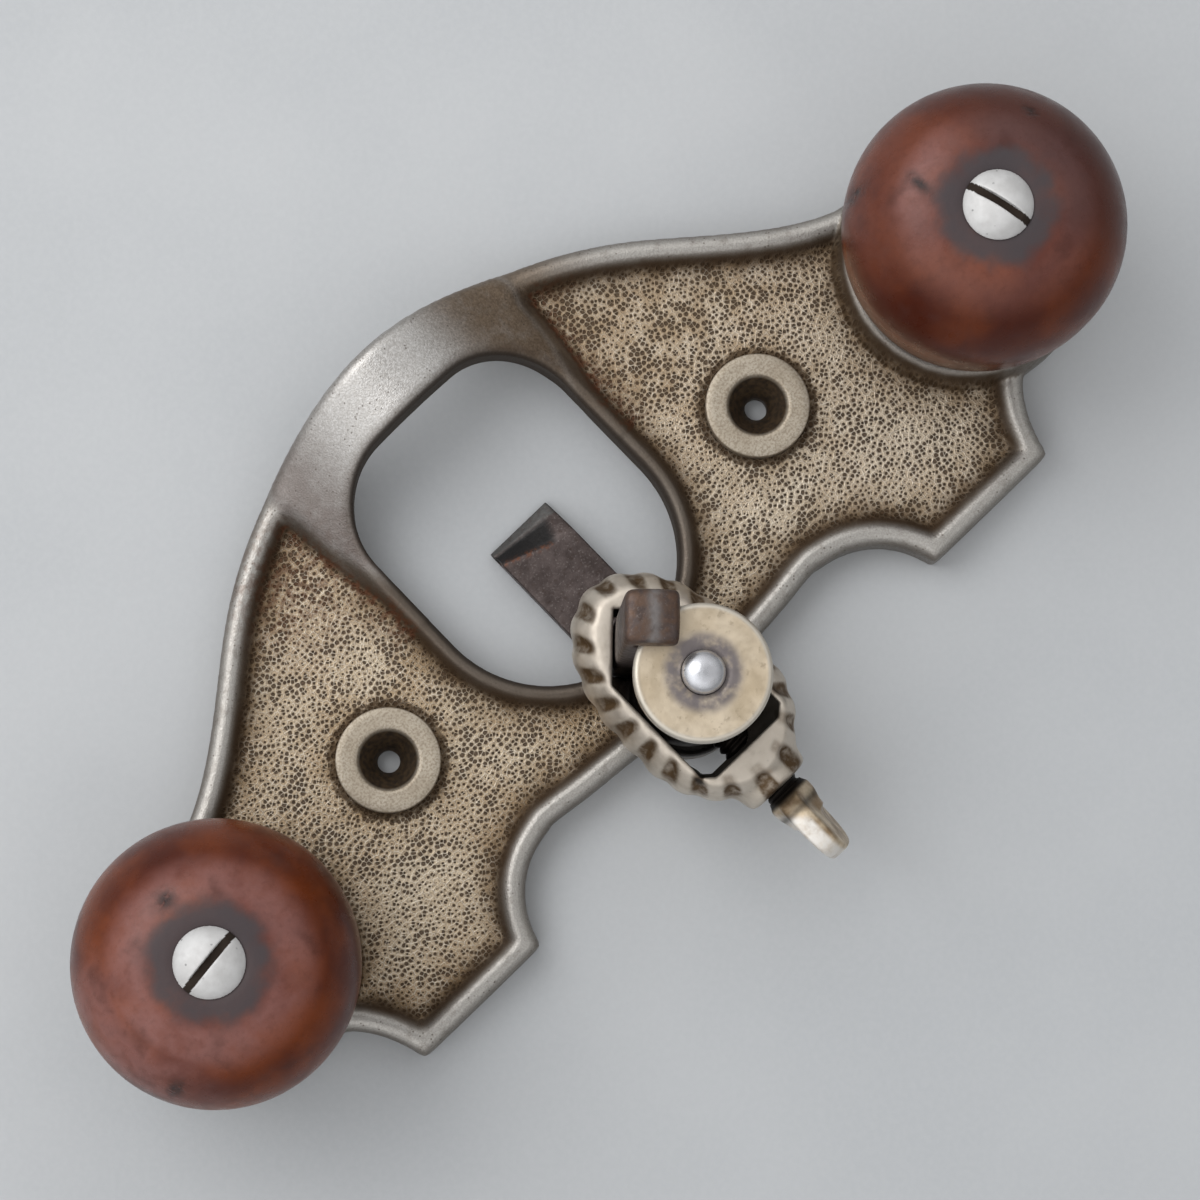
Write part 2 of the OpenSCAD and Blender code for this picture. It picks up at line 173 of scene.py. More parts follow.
def surface_nets(field, axes, step):
    """Points and quads on the zero level of a field that is sampled on a grid and negative inside."""
    field = field.astype(np.float32)
    origin = np.array([a.flat[0] for a in axes])
    shape = field.shape
    cells = tuple(n - 1 for n in shape)
    total = np.zeros(cells + (3,), np.float32)
    count = np.zeros(cells, np.float32)

    def corner(o):
        """The field at one corner of every cell."""
        return field[tuple(slice(i, i + n) for i, n in zip(o, cells))]

    for axis in range(3):
        for u in (0, 1):
            for v in (0, 1):
                start = [u, v]
                start.insert(axis, 0)
                end = list(start)
                end[axis] = 1
                a, b = corner(start), corner(end)
                crosses = (a < 0) != (b < 0)
                t = np.where(crosses, a / np.where(crosses, a - b, 1), 0)
                for k in range(3):
                    total[..., k] += t if k == axis else crosses * start[k]
                count += crosses
    active = count > 0
    index = np.full(cells, -1, np.int64)
    index[active] = np.arange(int(active.sum()))
    points = origin + step * (np.argwhere(active) + total[active] / count[active][:, None])
    inside = field < 0
    quads = []
    for axis in range(3):
        u, v = (axis + 1) % 3, (axis + 2) % 3
        low = [slice(1, n - 1) for n in shape]
        high = list(low)
        low[axis], high[axis] = slice(0, -1), slice(1, None)
        a, b = inside[tuple(low)], inside[tuple(high)]
        changes = a != b
        at = np.argwhere(changes)
        moves = np.eye(3, dtype=int)[[u, v]]
        around = [at + np.array(move) @ moves for move in ((0, 0), (1, 0), (1, 1), (0, 1))]
        quad = np.stack([index[tuple(c.T)] for c in around], 1)
        turned = b[changes]
        quad[turned] = quad[turned][:, ::-1]
        quads.append(quad)
    return points, np.concatenate(quads)


def add_object(name, data):
    """A new object in the scene."""
    obj = bpy.data.objects.new(name, data)
    bpy.context.scene.collection.objects.link(obj)
    return obj


def make_object(name, points, faces, body, node, material, at=(0, 0, 0)):
    """A smooth-shaded piece from points in millimetres about a place, riding a body in place of a CAD
    node, with one of the finishes."""
    mesh = bpy.data.meshes.new(name)
    mesh.from_pydata(((points + np.array(at)) * MM).tolist(), [], [list(map(int, f)) for f in faces])
    mesh.shade_smooth()
    mesh.materials.append(material)
    obj = add_object(name, mesh)
    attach(obj, body)
    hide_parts(node)
    return obj


def add_mask(obj, name, values):
    """A value at each point of a mesh, which its material reads."""
    mask = obj.data.attributes.new(name, "FLOAT", "POINT")
    mask.data.foreach_set("value", np.ascontiguousarray(values, np.float32))


def lathe(profile, segments, ripple=None):
    """Points and faces of (radius, height) pairs turned about Z. A radius of 0 closes an end.
    ripple(row, angles) gives a change of radius round a row."""
    angles = np.arange(segments) * 2 * math.pi / segments
    points, rows = [], []
    for k, (r, z) in enumerate(profile):
        if r == 0:
            rows.append([len(points)] * segments)
            points.append((0, 0, z))
            continue
        rows.append(list(range(len(points), len(points) + segments)))
        radius = r + (ripple(k, angles) if ripple else 0 * angles)
        points.extend(zip(radius * np.cos(angles), radius * np.sin(angles), 0 * angles + z))
    faces = []
    for low, high in zip(rows, rows[1:]):
        for i in range(segments):
            j = (i + 1) % segments
            face = [low[i], low[j], high[j], high[i]]
            faces.append([p for n, p in enumerate(face) if p not in face[:n]])
    return np.array(points, float), faces


def thread_sleeve(radius, depth, low, high):
    """Points and faces of a closed screw thread about Z, plain at both ends."""
    segments, per_turn = 40, 8
    rows = int((high - low) / THREAD_PITCH * per_turn)
    heights = np.linspace(low, high, rows + 1)

    def groove(row, angles):
        """Change of radius round a row. Row 0 is the middle of the low end."""
        z = heights[row - 1]
        phase = (z / THREAD_PITCH - angles / (2 * math.pi)) % 1
        fade = min(1, (z - low) / THREAD_PITCH, (high - z) / THREAD_PITCH)
        return -depth * (fade * np.abs(2 * phase - 1) ** 1.5 + 0.2 * (1 - fade))

    return lathe([(0, low)] + [(radius, z) for z in heights] + [(0, high)], segments, groove)


def joined(*parts):
    """Several (points, faces) as one."""
    points, faces, start = [], [], 0
    for p, f in parts:
        points.append(np.asarray(p, float))
        faces.extend([[start + i for i in face] for face in f])
        start += len(p)
    return np.concatenate(points), faces


# Materials


class Finish:
    """Builds one material's nodes, with coordinates in millimetres on the piece."""

    def __init__(self, name):
        """A new material and its coordinates."""
        self.material = bpy.data.materials.new(name)
        self.material.use_nodes = True
        self.tree = self.material.node_tree
        place = self.node("TexCoord")["Object"]
        self.place = self.node("VectorMath", {0: place, "Scale": 1 / MM}, operation="SCALE")[0]

    def feed(self, socket, value):
        """Links a socket to a node's output, or sets it."""
        if isinstance(value, bpy.types.NodeSocket):
            self.tree.links.new(value, socket)
        elif isinstance(value, tuple) and socket.type == "RGBA":
            socket.default_value = (*value, 1)
        else:
            socket.default_value = value

    def node(self, kind, inputs=None, **settings):
        """Outputs of a new node with those settings, and with inputs by name or number."""
        made = self.tree.nodes.new("ShaderNode" + kind)
        for key, value in settings.items():
            setattr(made, key, value)
        for key, value in (inputs or {}).items():
            self.feed(made.inputs[key], value)
        return made.outputs

    def math(self, operation, a, b, clamp=False):
        """One value worked out from two."""
        return self.node("Math", {0: a, 1: b}, operation=operation, use_clamp=clamp)[0]

    def times(self, a, b, clamp=False):
        """a multiplied by b."""
        return self.math("MULTIPLY", a, b, clamp)

    def plus(self, a, b, clamp=False):
        """a added to b."""
        return self.math("ADD", a, b, clamp)

    def along(self, axis):
        """A coordinate in millimetres."""
        return self.node("SeparateXYZ", {0: self.place})[axis]

    def masks(self, *names):
        """A mesh's own values, set with add_mask."""
        return [self.node("Attribute", attribute_name=name)["Fac"] for name in names]

    def noise(self, size, detail=4.0, rough=0.55, offset=(0, 0, 0), stretch=(1, 1, 1)):
        """Noise of about that size in millimetres, from 0 to 1."""
        place = self.node("Mapping", {"Vector": self.place, "Location": offset, "Scale": stretch})[0]
        inputs = {"Vector": place, "Scale": 1 / size, "Detail": detail, "Roughness": rough}
        return self.node("TexNoise", inputs)["Fac"]

    def voronoi(self, size, random, dimensions="2D", feature="F1"):
        """Outputs of a pattern of cells round scattered points about size millimetres apart."""
        inputs = {"Vector": self.place, "Scale": 1 / size, "Randomness": random}
        return self.node("TexVoronoi", inputs, voronoi_dimensions=dimensions, feature=feature)

    def ramp(self, value, low=0.3, high=0.7, first=0.0, last=1.0):
        """value from low to high mapped smoothly to first to last."""
        inputs = {"Value": value, "From Min": low, "From Max": high, "To Min": first, "To Max": last}
        return self.node("MapRange", inputs, interpolation_type="SMOOTHSTEP")[0]

    def mix(self, share, a, b):
        """Colour a turning into colour b."""
        return self.node("Mix", {"Factor": share, 6: a, 7: b}, data_type="RGBA")[2]

    def bump(self, height, depth, under=None):
        """A normal for relief of that depth in millimetres, over another normal."""
        inputs = {"Strength": 1.0, "Distance": depth * MM, "Height": height}
        if under is not None:
            inputs["Normal"] = under
        return self.node("Bump", inputs)[0]

    def done(self, **values):
        """Sets the shader's inputs and gives the material."""
        shader = self.tree.nodes["Principled BSDF"]
        for key, value in values.items():
            self.feed(shader.inputs[key.replace("_", " ").title().replace("Ior", "IOR")], value)
        return self.material


def casting_metal(f, patch, fine, grain, wall):
    """Colour of the smooth metal: worn bright on the crests and the arch, with painted highlights along the
    crests and the knob seats, painted shade on the arch's left leg, along its edges and on the throat's
    walls, and brown at the arch's right leg.
    """
    bead, crest, arch, painted_shade, foot = f.masks("bead", "crest", "arch", "painted_shade", "foot")
    blotch = f.noise(2.4)
    metal = f.mix(f.ramp(patch), (0.125, 0.1, 0.078), (0.2, 0.178, 0.153))
    metal = f.mix(f.ramp(blotch, 0.5, 0.75, 0, 0.5), metal, (0.1, 0.07, 0.045))
    # crests: worn bright metal on the rims, partly a painted highlight, and a painted highlight on the knob
    # seats
    metal = f.mix(f.times(crest, f.ramp(blotch, 0.25, 0.5, 0.55, 1.0)), metal, (0.43, 0.41, 0.38))
    bright = f.mix(f.ramp(fine), (0.46, 0.44, 0.415), (0.6, 0.585, 0.565))
    metal = f.mix(arch, metal, bright)
    # painted shade: the arch's left leg greyed down from the bright arch
    metal = f.mix(f.times(painted_shade, f.ramp(blotch, 0.2, 0.6, 0.7, 1.0)), metal, (0.27, 0.238, 0.22))
    brown = f.mix(f.ramp(fine), (0.13, 0.086, 0.05), (0.215, 0.15, 0.094))
    metal = f.mix(f.times(foot, f.ramp(blotch, 0.15, 0.55, 0.75, 1.0)), metal, brown)
    pores = f.ramp(f.voronoi(0.8, 0.9, "3D")["Distance"], 0.1, 0.24, 1, 0)
    pores = f.times(pores, f.ramp(f.noise(3), 0.42, 0.62, 0, 0.7))
    metal = f.mix(pores, metal, (0.07, 0.05, 0.036))
    # the bead mask darkens the throat's bead as tarnish, and adds painted shade along the arch's edges
    metal = f.mix(f.times(bead, 0.72), metal, (0.1, 0.078, 0.06))
    metal = f.mix(f.times(grain, 0.22), metal, (0.08, 0.064, 0.05))
    # painted shade: the throat's inner walls darkened nearly to black
    return f.mix(f.times(wall, 0.85), metal, (0.05, 0.038, 0.03))


def casting_stipple(f, patch, golden):
    """Colour, pits and ridges of the panels: a pale grainy skin over dark pits of many sizes."""
    pitch, scatter = 0.8, 0.85
    shade = f.node("SeparateColor", {0: f.voronoi(pitch, scatter)["Color"]})[0]
    spread = f.plus(f.ramp(f.noise(5, 3), 0.3, 0.7, -0.19, 0.06), f.ramp(shade, 0, 1, -0.08, 0.07))
    spread = f.plus(spread, f.times(golden, 0.08))
    middle = f.math("SUBTRACT", f.voronoi(pitch, scatter)["Distance"], spread)
    border = f.voronoi(pitch, scatter, feature="DISTANCE_TO_EDGE")["Distance"]
    pit = f.times(f.ramp(middle, 0.19, 0.38, 1, 0), f.ramp(border, 0.02, 0.12))
    ridge = f.ramp(border, 0.02, 0.16, 1, 0)
    skin = f.mix(f.ramp(patch), (0.475, 0.357, 0.234), (0.605, 0.497, 0.36))
    skin = f.mix(f.ramp(f.noise(0.3, 3), 0.42, 0.7, 0, 0.7), skin, (0.2, 0.148, 0.098))
    glint = f.times(ridge, f.ramp(f.noise(0.7, 3), 0.3, 0.65, 0.1, 0.8))
    skin = f.mix(glint, skin, (0.84, 0.755, 0.625))
    skin = f.mix(f.ramp(f.along("X"), 0.0, 45.0, 0.0, 0.22), skin, (0.84, 0.755, 0.64))
    streaks = f.ramp(f.noise(3.2, 4, 0.6), 0.25, 0.65, 0.0, 0.75)
    skin = f.mix(f.times(golden, streaks, clamp=True), skin, (0.25, 0.152, 0.062))
    hollow = f.mix(shade, (0.03, 0.019, 0.013), (0.1, 0.068, 0.046))
    hollow = f.mix(f.times(golden, 0.5), hollow, (0.075, 0.044, 0.017))
    return f.mix(f.times(pit, 0.96), skin, hollow), pit, ridge


def casting_finish():
    """Worn nickel over iron: pitted panels, satin rims and arch, brown grime in the corners, and painted
    shade under the knobs and the collar.
    """
    f = Finish("worn_nickel_casting")
    panel, grime, golden, rust = f.masks("panel", "grime", "golden", "rust")
    gap, wall, moat = f.masks("gap", "wall", "moat")
    patch, fine = f.noise(11, 3), f.noise(0.4, 3)
    grain = f.ramp(f.noise(0.25, 2), 0.35, 0.65)
    stipple, pit, ridge = casting_stipple(f, patch, golden)
    colour = f.mix(panel, casting_metal(f, patch, fine, grain, wall), stipple)
    ragged = f.ramp(f.plus(moat, f.ramp(f.noise(0.9, 3), 0.3, 0.7, -0.45, 0.25)), 0.1, 0.8)
    dirt = f.times(grime, f.ramp(f.noise(3.5), 0.2, 0.62, 0.5, 1.0))
    dirt = f.math("MAXIMUM", dirt, f.times(ragged, 0.9), clamp=True)
    colour = f.mix(f.times(dirt, 0.9), colour, (0.062, 0.035, 0.016))
    stain = f.times(rust, f.ramp(f.noise(1.1), 0.4, 0.62, 0.0, 1.0), clamp=True)
    colour = f.mix(stain, colour, (0.1, 0.04, 0.018))
    # painted shade: near black where the knobs' overhang and the collar shut out the light
    colour = f.mix(f.times(gap, 0.95), colour, (0.012, 0.009, 0.007))
    dull = f.plus(f.times(dirt, 0.3), f.times(wall, 0.5))
    rough = f.plus(f.ramp(fine, 0.2, 0.8, 0.28, 0.44), dull, clamp=True)
    height = f.plus(f.math("SUBTRACT", 1.0, pit), f.times(ridge, 0.35))
    relief = f.bump(f.times(height, panel), 0.17)
    relief = f.bump(f.plus(f.noise(0.8), f.times(grain, 0.4)), 0.04, relief)
    return f.done(base_color=colour, metallic=0.7, roughness=rough, normal=relief)


def boss_finish(name):
    """Machined flat face, dull and finely grained, with a dirty countersink."""
    f = Finish(name)
    cup, wall = f.masks("cup", "wall")
    colour = f.mix(f.ramp(f.noise(4, 3)), (0.39, 0.333, 0.257), (0.48, 0.423, 0.34))
    colour = f.mix(f.ramp(f.noise(0.35, 3), 0.4, 0.66, 0, 0.7), colour, (0.25, 0.2, 0.145))
    brown = f.mix(f.ramp(f.noise(0.7)), (0.016, 0.009, 0.005), (0.075, 0.045, 0.021))
    colour = f.mix(f.times(cup, 0.96), colour, brown)
    colour = f.mix(f.times(wall, 0.8), colour, (0.1, 0.075, 0.055))
    relief = f.bump(f.noise(0.35, 3), 0.03)
    return f.done(base_color=colour, metallic=0.6, roughness=0.5, normal=relief)


def wood_finish(name, offset):
    """Polished reddish hardwood: clouded, orange at the belly, with a painted greyish sheen on the crown and
    one side, painted shade on the far side and underneath, and a grey stain round the screw.
    """
    f = Finish(name)
    stain, belly, mark, sheen, painted_shade = f.masks("stain", "belly", "mark", "sheen", "painted_shade")
    grain = f.noise(1.0, 5, 0.6, offset, (1, 1, 0.1))
    cloud = f.ramp(f.noise(10, 3, 0.45, offset), 0.32, 0.68)
    crown = f.mix(cloud, (0.112, 0.024, 0.011), (0.218, 0.062, 0.029))
    flank = f.mix(cloud, (0.062, 0.01, 0.003), (0.152, 0.032, 0.006))
    colour = f.mix(belly, crown, flank)
    # painted shade on the knob's far side and underside
    colour = f.mix(painted_shade, colour, f.mix(belly, (0.055, 0.03, 0.03), (0.05, 0.014, 0.009)))
    # painted sheen: a greyish reflection of the sky on the crown and the lit side
    veil = f.times(sheen, f.ramp(f.noise(6, 4, 0.55, offset), 0.32, 0.62, 0.4, 1.0))
    colour = f.mix(veil, colour, (0.225, 0.1, 0.086))
    colour = f.mix(f.ramp(grain, 0.45, 0.75, 0, 0.22), colour, (0.05, 0.013, 0.007))
    shadow = f.ramp(f.noise(6, 3, 0.5, offset), 0.53, 0.75, 0, 0.45)
    colour = f.mix(shadow, colour, (0.04, 0.011, 0.007))
    spread = f.plus(stain, f.ramp(f.noise(4.0, 3, 0.5, offset), 0.2, 0.8, -0.25, 0.25))
    ring = f.ramp(spread, 0.05, 1.0, 0, 0.9)
    colour = f.mix(ring, colour, (0.055, 0.05, 0.054))
    dent = f.times(mark, f.ramp(f.noise(1.0, 3), 0.3, 0.55, 0.4, 1.0), clamp=True)
    colour = f.mix(dent, colour, (0.012, 0.01, 0.01))
    rough = f.plus(f.ramp(f.noise(2.5), 0.25, 0.75, 0.24, 0.36), f.times(ring, 0.12))
    relief = f.bump(f.math("SUBTRACT", grain, f.times(dent, 3.0)), 0.04)
    return f.done(base_color=colour, roughness=rough, normal=relief, specular_ior_level=0.19)


def metal_finish(name, pale, dark, size=4.0, rough=(0.25, 0.42), metallic=0.9, layers=()):
    """Worn bare or plated metal, mottled between two colours. Each layer is a mask's name, its colour
    and whether it is smeared."""
    f = Finish(name)
    colour = f.mix(f.ramp(f.noise(size, 5), 0.32, 0.68), dark, pale)
    specks = f.voronoi(1.4, 0.9, "3D")["Distance"]
    specks = f.times(f.ramp(specks, 0.08, 0.16, 1, 0), f.ramp(f.noise(2), 0.5, 0.62, 0, 0.7))
    colour = f.mix(specks, colour, tuple(c * 0.3 for c in dark))
    shine = f.ramp(f.noise(1.2), 0.25, 0.75, *rough)
    for mask, tint, smeared in layers:
        share = f.masks(mask)[0]
        if smeared:
            share = f.times(share, f.ramp(f.noise(1.6), 0.2, 0.6, 0.35, 1.0), clamp=True)
        colour = f.mix(share, colour, tint)
        shine = f.plus(shine, f.times(share, 0.15), clamp=True)
    relief = f.bump(f.noise(0.5), 0.02)
    return f.done(base_color=colour, metallic=metallic, roughness=shine, normal=relief)


def nut_finish():
    """Worn nickel over brass, with turning marks and a grey stain round the stud."""
    f = Finish("worn_nut")
    stain, edge = f.masks("stain", "edge")
    colour = f.mix(f.ramp(f.noise(6)), (0.52, 0.42, 0.29), (0.65, 0.55, 0.415))
    colour = f.mix(f.ramp(f.noise(1.0), 0.55, 0.75, 0, 0.5), colour, (0.25, 0.19, 0.125))
    colour = f.mix(f.times(edge, 0.8), colour, (0.55, 0.52, 0.46))
    ring = f.times(stain, f.ramp(f.noise(2.2, 3), 0.25, 0.6, 0.3, 1.0))
    colour = f.mix(ring, colour, (0.2, 0.175, 0.172))
    relief = f.bump(f.noise(0.5), 0.02)
    rough = f.ramp(f.noise(1.5), 0.25, 0.75, 0.3, 0.48)
    return f.done(base_color=colour, metallic=0.7, roughness=rough, normal=relief)


def cutter_finish():
    """Dark steel, brown with age, with painted shade blacking the hollow in its bevel, a line of rust behind
    a cleaner edge, and a rubbed streak on the shank's top that is partly a painted highlight.
    """
    f = Finish("dark_cutter_steel")
    rust, hollow, edge, worn, crown = f.masks("rust", "hollow", "edge", "worn", "crown")
    colour = f.mix(f.ramp(f.noise(3, 5)), (0.045, 0.032, 0.029), (0.096, 0.074, 0.069))
    colour = f.mix(f.ramp(f.noise(0.9, 5), 0.5, 0.75, 0, 0.6), colour, (0.038, 0.022, 0.016))
    colour = f.mix(f.ramp(f.noise(0.35, 2), 0.56, 0.72, 0, 0.5), colour, (0.19, 0.165, 0.155))
    browned = f.times(crown, f.ramp(f.noise(1.6), 0.35, 0.6, 0.1, 0.8))
    colour = f.mix(browned, colour, (0.105, 0.06, 0.038))
    # rubbed steel along the shank top's ridge, partly a painted highlight
    rubbed = f.times(worn, f.ramp(f.noise(2.0, 3), 0.3, 0.6, 0.3, 1.0))
    colour = f.mix(rubbed, colour, (0.17, 0.155, 0.15))
    # painted shade: the hollow in the bevel blacked
    colour = f.mix(f.times(hollow, 0.92), colour, (0.012, 0.012, 0.012))
    flakes = f.times(rust, f.ramp(f.noise(0.8), 0.42, 0.6, 0.05, 0.95))
    colour = f.mix(flakes, colour, (0.12, 0.046, 0.023))
    ground = f.times(edge, f.ramp(f.noise(0.6, 3), 0.3, 0.6, 0.45, 0.9))
    colour = f.mix(ground, colour, (0.1, 0.099, 0.095))
    relief = f.bump(f.noise(0.6, 5), 0.07)
    rough = f.ramp(f.noise(1.1), 0.25, 0.75, 0.38, 0.6)
    return f.done(base_color=colour, metallic=0.6, roughness=rough, normal=relief)


# Sole casting


def front_edge():
    """Right half of the sole's front edge: an arc over the arch, then a curve that runs into the lobe."""
    centre = np.array((0, FRONT - FRONT_R))
    arc = [centre + FRONT_R * np.array((math.sin(a), math.cos(a))) for a in np.linspace(0, FRONT_TURN, 24)]
    along = np.array((math.cos(FRONT_TURN), -math.sin(FRONT_TURN)))
    away = np.array((math.cos(LOBE_SLOPE), -math.sin(LOBE_SLOPE)))
    end = np.array((KNOB_X, 0)) + (LOBE_R - LOBE_LAP) * np.array((math.cos(LOBE_TURN), math.sin(LOBE_TURN)))
    reach = FRONT_PULL * np.linalg.norm(end - arc[-1])
    p = [arc[-1], arc[-1] + reach * along, end - reach * away, end]
    curve = [
        (1 - t) ** 3 * p[0] + 3 * (1 - t) ** 2 * t * p[1] + 3 * (1 - t) * t * t * p[2] + t**3 * p[3]
        for t in np.linspace(0, 1, 24)[1:]
    ]
    return [tuple(q) for q in arc + curve]


def sole_distance(x, y):
    """Signed distance in plan to the casting's outer edge, negative inside."""
    x = np.abs(x)
    past_middle, web_slope, corner, fillet = -30.0, 2, 0.7, 0.8
    web = SCALLOP[2] - SCALLOP[1]
    outline = [(past_middle, FRONT)] + front_edge() + [
        (KNOB_X, 0.0), (KNOB_X, -REAR), (SCALLOP[0], -REAR), (SCALLOP[0], web),
        (0.0, web - web_slope), (past_middle, web - web_slope)]
    d = polygon_distance(outline, x, y)
    for cx, cy, r in (SCALLOP, FLARE):
        d = smooth_max(d, r - np.hypot(x - cx, y + cy), corner)
    d = smooth_min(d, np.hypot(x - KNOB_X, y) - LOBE_R, fillet)
    return smooth_min(d, np.hypot(x, y - POST_Y) - POST_BOSS_R, fillet)


def throat_distance(x, y):
    """Signed distance in plan to the throat's edge, negative in the opening."""
    x = np.abs(x)
    cy = THROAT_FRONT - THROAT_CORNER
    inner = THROAT_HALF - THROAT_CORNER
    rear = np.hypot(x, y - THROAT_Y) - THROAT_HALF
    side = x - THROAT_HALF
    ox, oy = np.maximum(x - inner, 0), np.maximum(y - cy, 0)
    front = np.hypot(ox, oy) + np.minimum(np.maximum(x - inner, y - cy), 0) - THROAT_CORNER
    return np.where(y < THROAT_Y, rear, np.where(y < cy, side, front))


def rounded(distance, width):
    """Height below a crest of a quarter-round edge: 1 at its foot, 0 from width inwards."""
    return 1 - np.sqrt(np.clip(1 - (np.maximum(width - distance, 0) / width) ** 2, 0, 1))


def coved(height, out, cove):
    """A form's height, which falls away in a cove at a distance out from its flat top."""
    return height - np.maximum(out, 0) ** 2 / cove


def ridge_height(distance, width, drop, cove):
    """Height of a ridge along an edge, rounded off over its width and coved behind."""
    return coved(RIM_Z - drop * rounded(distance, width), distance - width, cove)


def arch_height(x, y, edge, throat):
    """Height of the arch: its crest over the mouth, its flanks and how it runs down into the rims."""
    x = np.abs(x)
    sink, slack, past = 0.3, 1.2, 4
    hump = (1 - np.clip(x / ARCH_REACH, 0, 1) ** 2) ** 2
    top = RIM_Z + (ARCH_TOP - RIM_Z) * hump - 1.7 * rounded(edge, 1.8) - 1.0 * rounded(throat, 1.4)
    top = RIM_Z - sink + (top - RIM_Z + sink) * ease(ARCH_REAR - 4, THROAT_FRONT, y)
    leg = ARCH_HALF - 2.6 * (1 - ease(ARCH_REAR, THROAT_FRONT + 2, y))
    beside = x - leg + slack
    flank = 0.5 * (beside + np.sqrt(beside**2 + 5.0)) * ease(2.5, 6.5, edge)
    fade = 6.0 * ease(ARCH_REACH - 6, ARCH_REACH + past, x)
    return np.where((y > ARCH_REAR - 5) & (x < ARCH_REACH + past), top - flank - fade, NO_FORM)


def sole_heights(x, y):
    """Heights of the casting's top over the plan, one for each of its forms."""
    edge = -sole_distance(x, y)
    throat = throat_distance(x, y)
    seat_half, seat_depth, post_land = 0.45, 1.2, 8.0
    out = np.hypot(np.abs(x) - KNOB_X, y)
    seat = coved(SEAT_Z, np.abs(out - SEAT_R) - seat_half, cove=0.7)
    return {
        "rim": ridge_height(edge, width=2.1, drop=2.2, cove=2.2),
        "bead": ridge_height(throat, width=1.5, drop=1.7, cove=1.2),
        "seat": np.maximum(seat, np.where(out < SEAT_R, SEAT_Z - seat_depth, NO_FORM)),
        "post": coved(RIM_Z, np.hypot(x, y - POST_Y) - post_land, cove=1.5),
        "arch": arch_height(x, y, edge, throat),
    }


def sole_top(x, y):
    """Height of the casting's top surface: the panels, with every form faired into them."""
    forms = sole_heights(x, y)
    top, deep = PANEL_Z, PANEL_Z - 6
    for name, fairing in (("rim", 0.5), ("bead", 0.5), ("post", 0.5), ("arch", 1.0), ("seat", 0.4)):
        top = smooth_max(top, np.maximum(forms[name], deep), fairing)
    return top


def from_forms(x, y):
    """Distance in plan from the foot of the nearest raised form, on a panel."""
    rim_foot, bead_foot, seat_foot, post_foot = 4.5, 3.3, 1.9, 10
    rim = -sole_distance(x, y) - rim_foot
    bead = throat_distance(x, y) - bead_foot
    knob = np.hypot(np.abs(x) - KNOB_X, y) - SEAT_R - seat_foot
    arch = PANEL_Z - sole_heights(x, y)["arch"]
    post = np.hypot(x, y - POST_Y) - post_foot
    return np.min([rim, bead, knob, arch, post], axis=0)


def build_sole():
    """The casting, with an arched mouth, a notch for the shank and holes that the screw bosses fill."""
    step, shank_room, boss_lap = 0.4, 0.4, 0.5
    axes = x, y, z = grid((-96.4, -31.6, -1.2), (96.4, 52.0, 22.4), step)
    plan = np.maximum(sole_distance(x, y), -throat_distance(x, y))
    field = smooth_max(plan, z - sole_top(x, y), 0.25)
    field = np.maximum(field, -z)
    mouth_half, mouth_top, mouth_rear = THROAT_HALF - 0.6, ARCH_CLEAR - 0.5, THROAT_Y + 12
    mouth_r = (mouth_half**2 + mouth_top**2) / (2 * mouth_top)
    under = mouth_r - np.sqrt(x**2 + (z - mouth_top + mouth_r) ** 2)
    field = np.where(y > mouth_rear, smooth_max(field, under, 0.4), field)
    across = (np.abs(x) + np.abs(y - SHANK_Y)) / math.sqrt(2)
    field = np.maximum(field, SHANK_W / 2 + shank_room - across)
    boss = np.hypot(np.abs(x) - BOSS[0], y - BOSS[1])
    field = np.maximum(field, BOSS_R - boss_lap - boss)
    points, quads = surface_nets(field, axes, step)
    sole = make_object("sole_casting", points, quads, "frame", "base", casting_finish())
    mark_sole(sole, points)


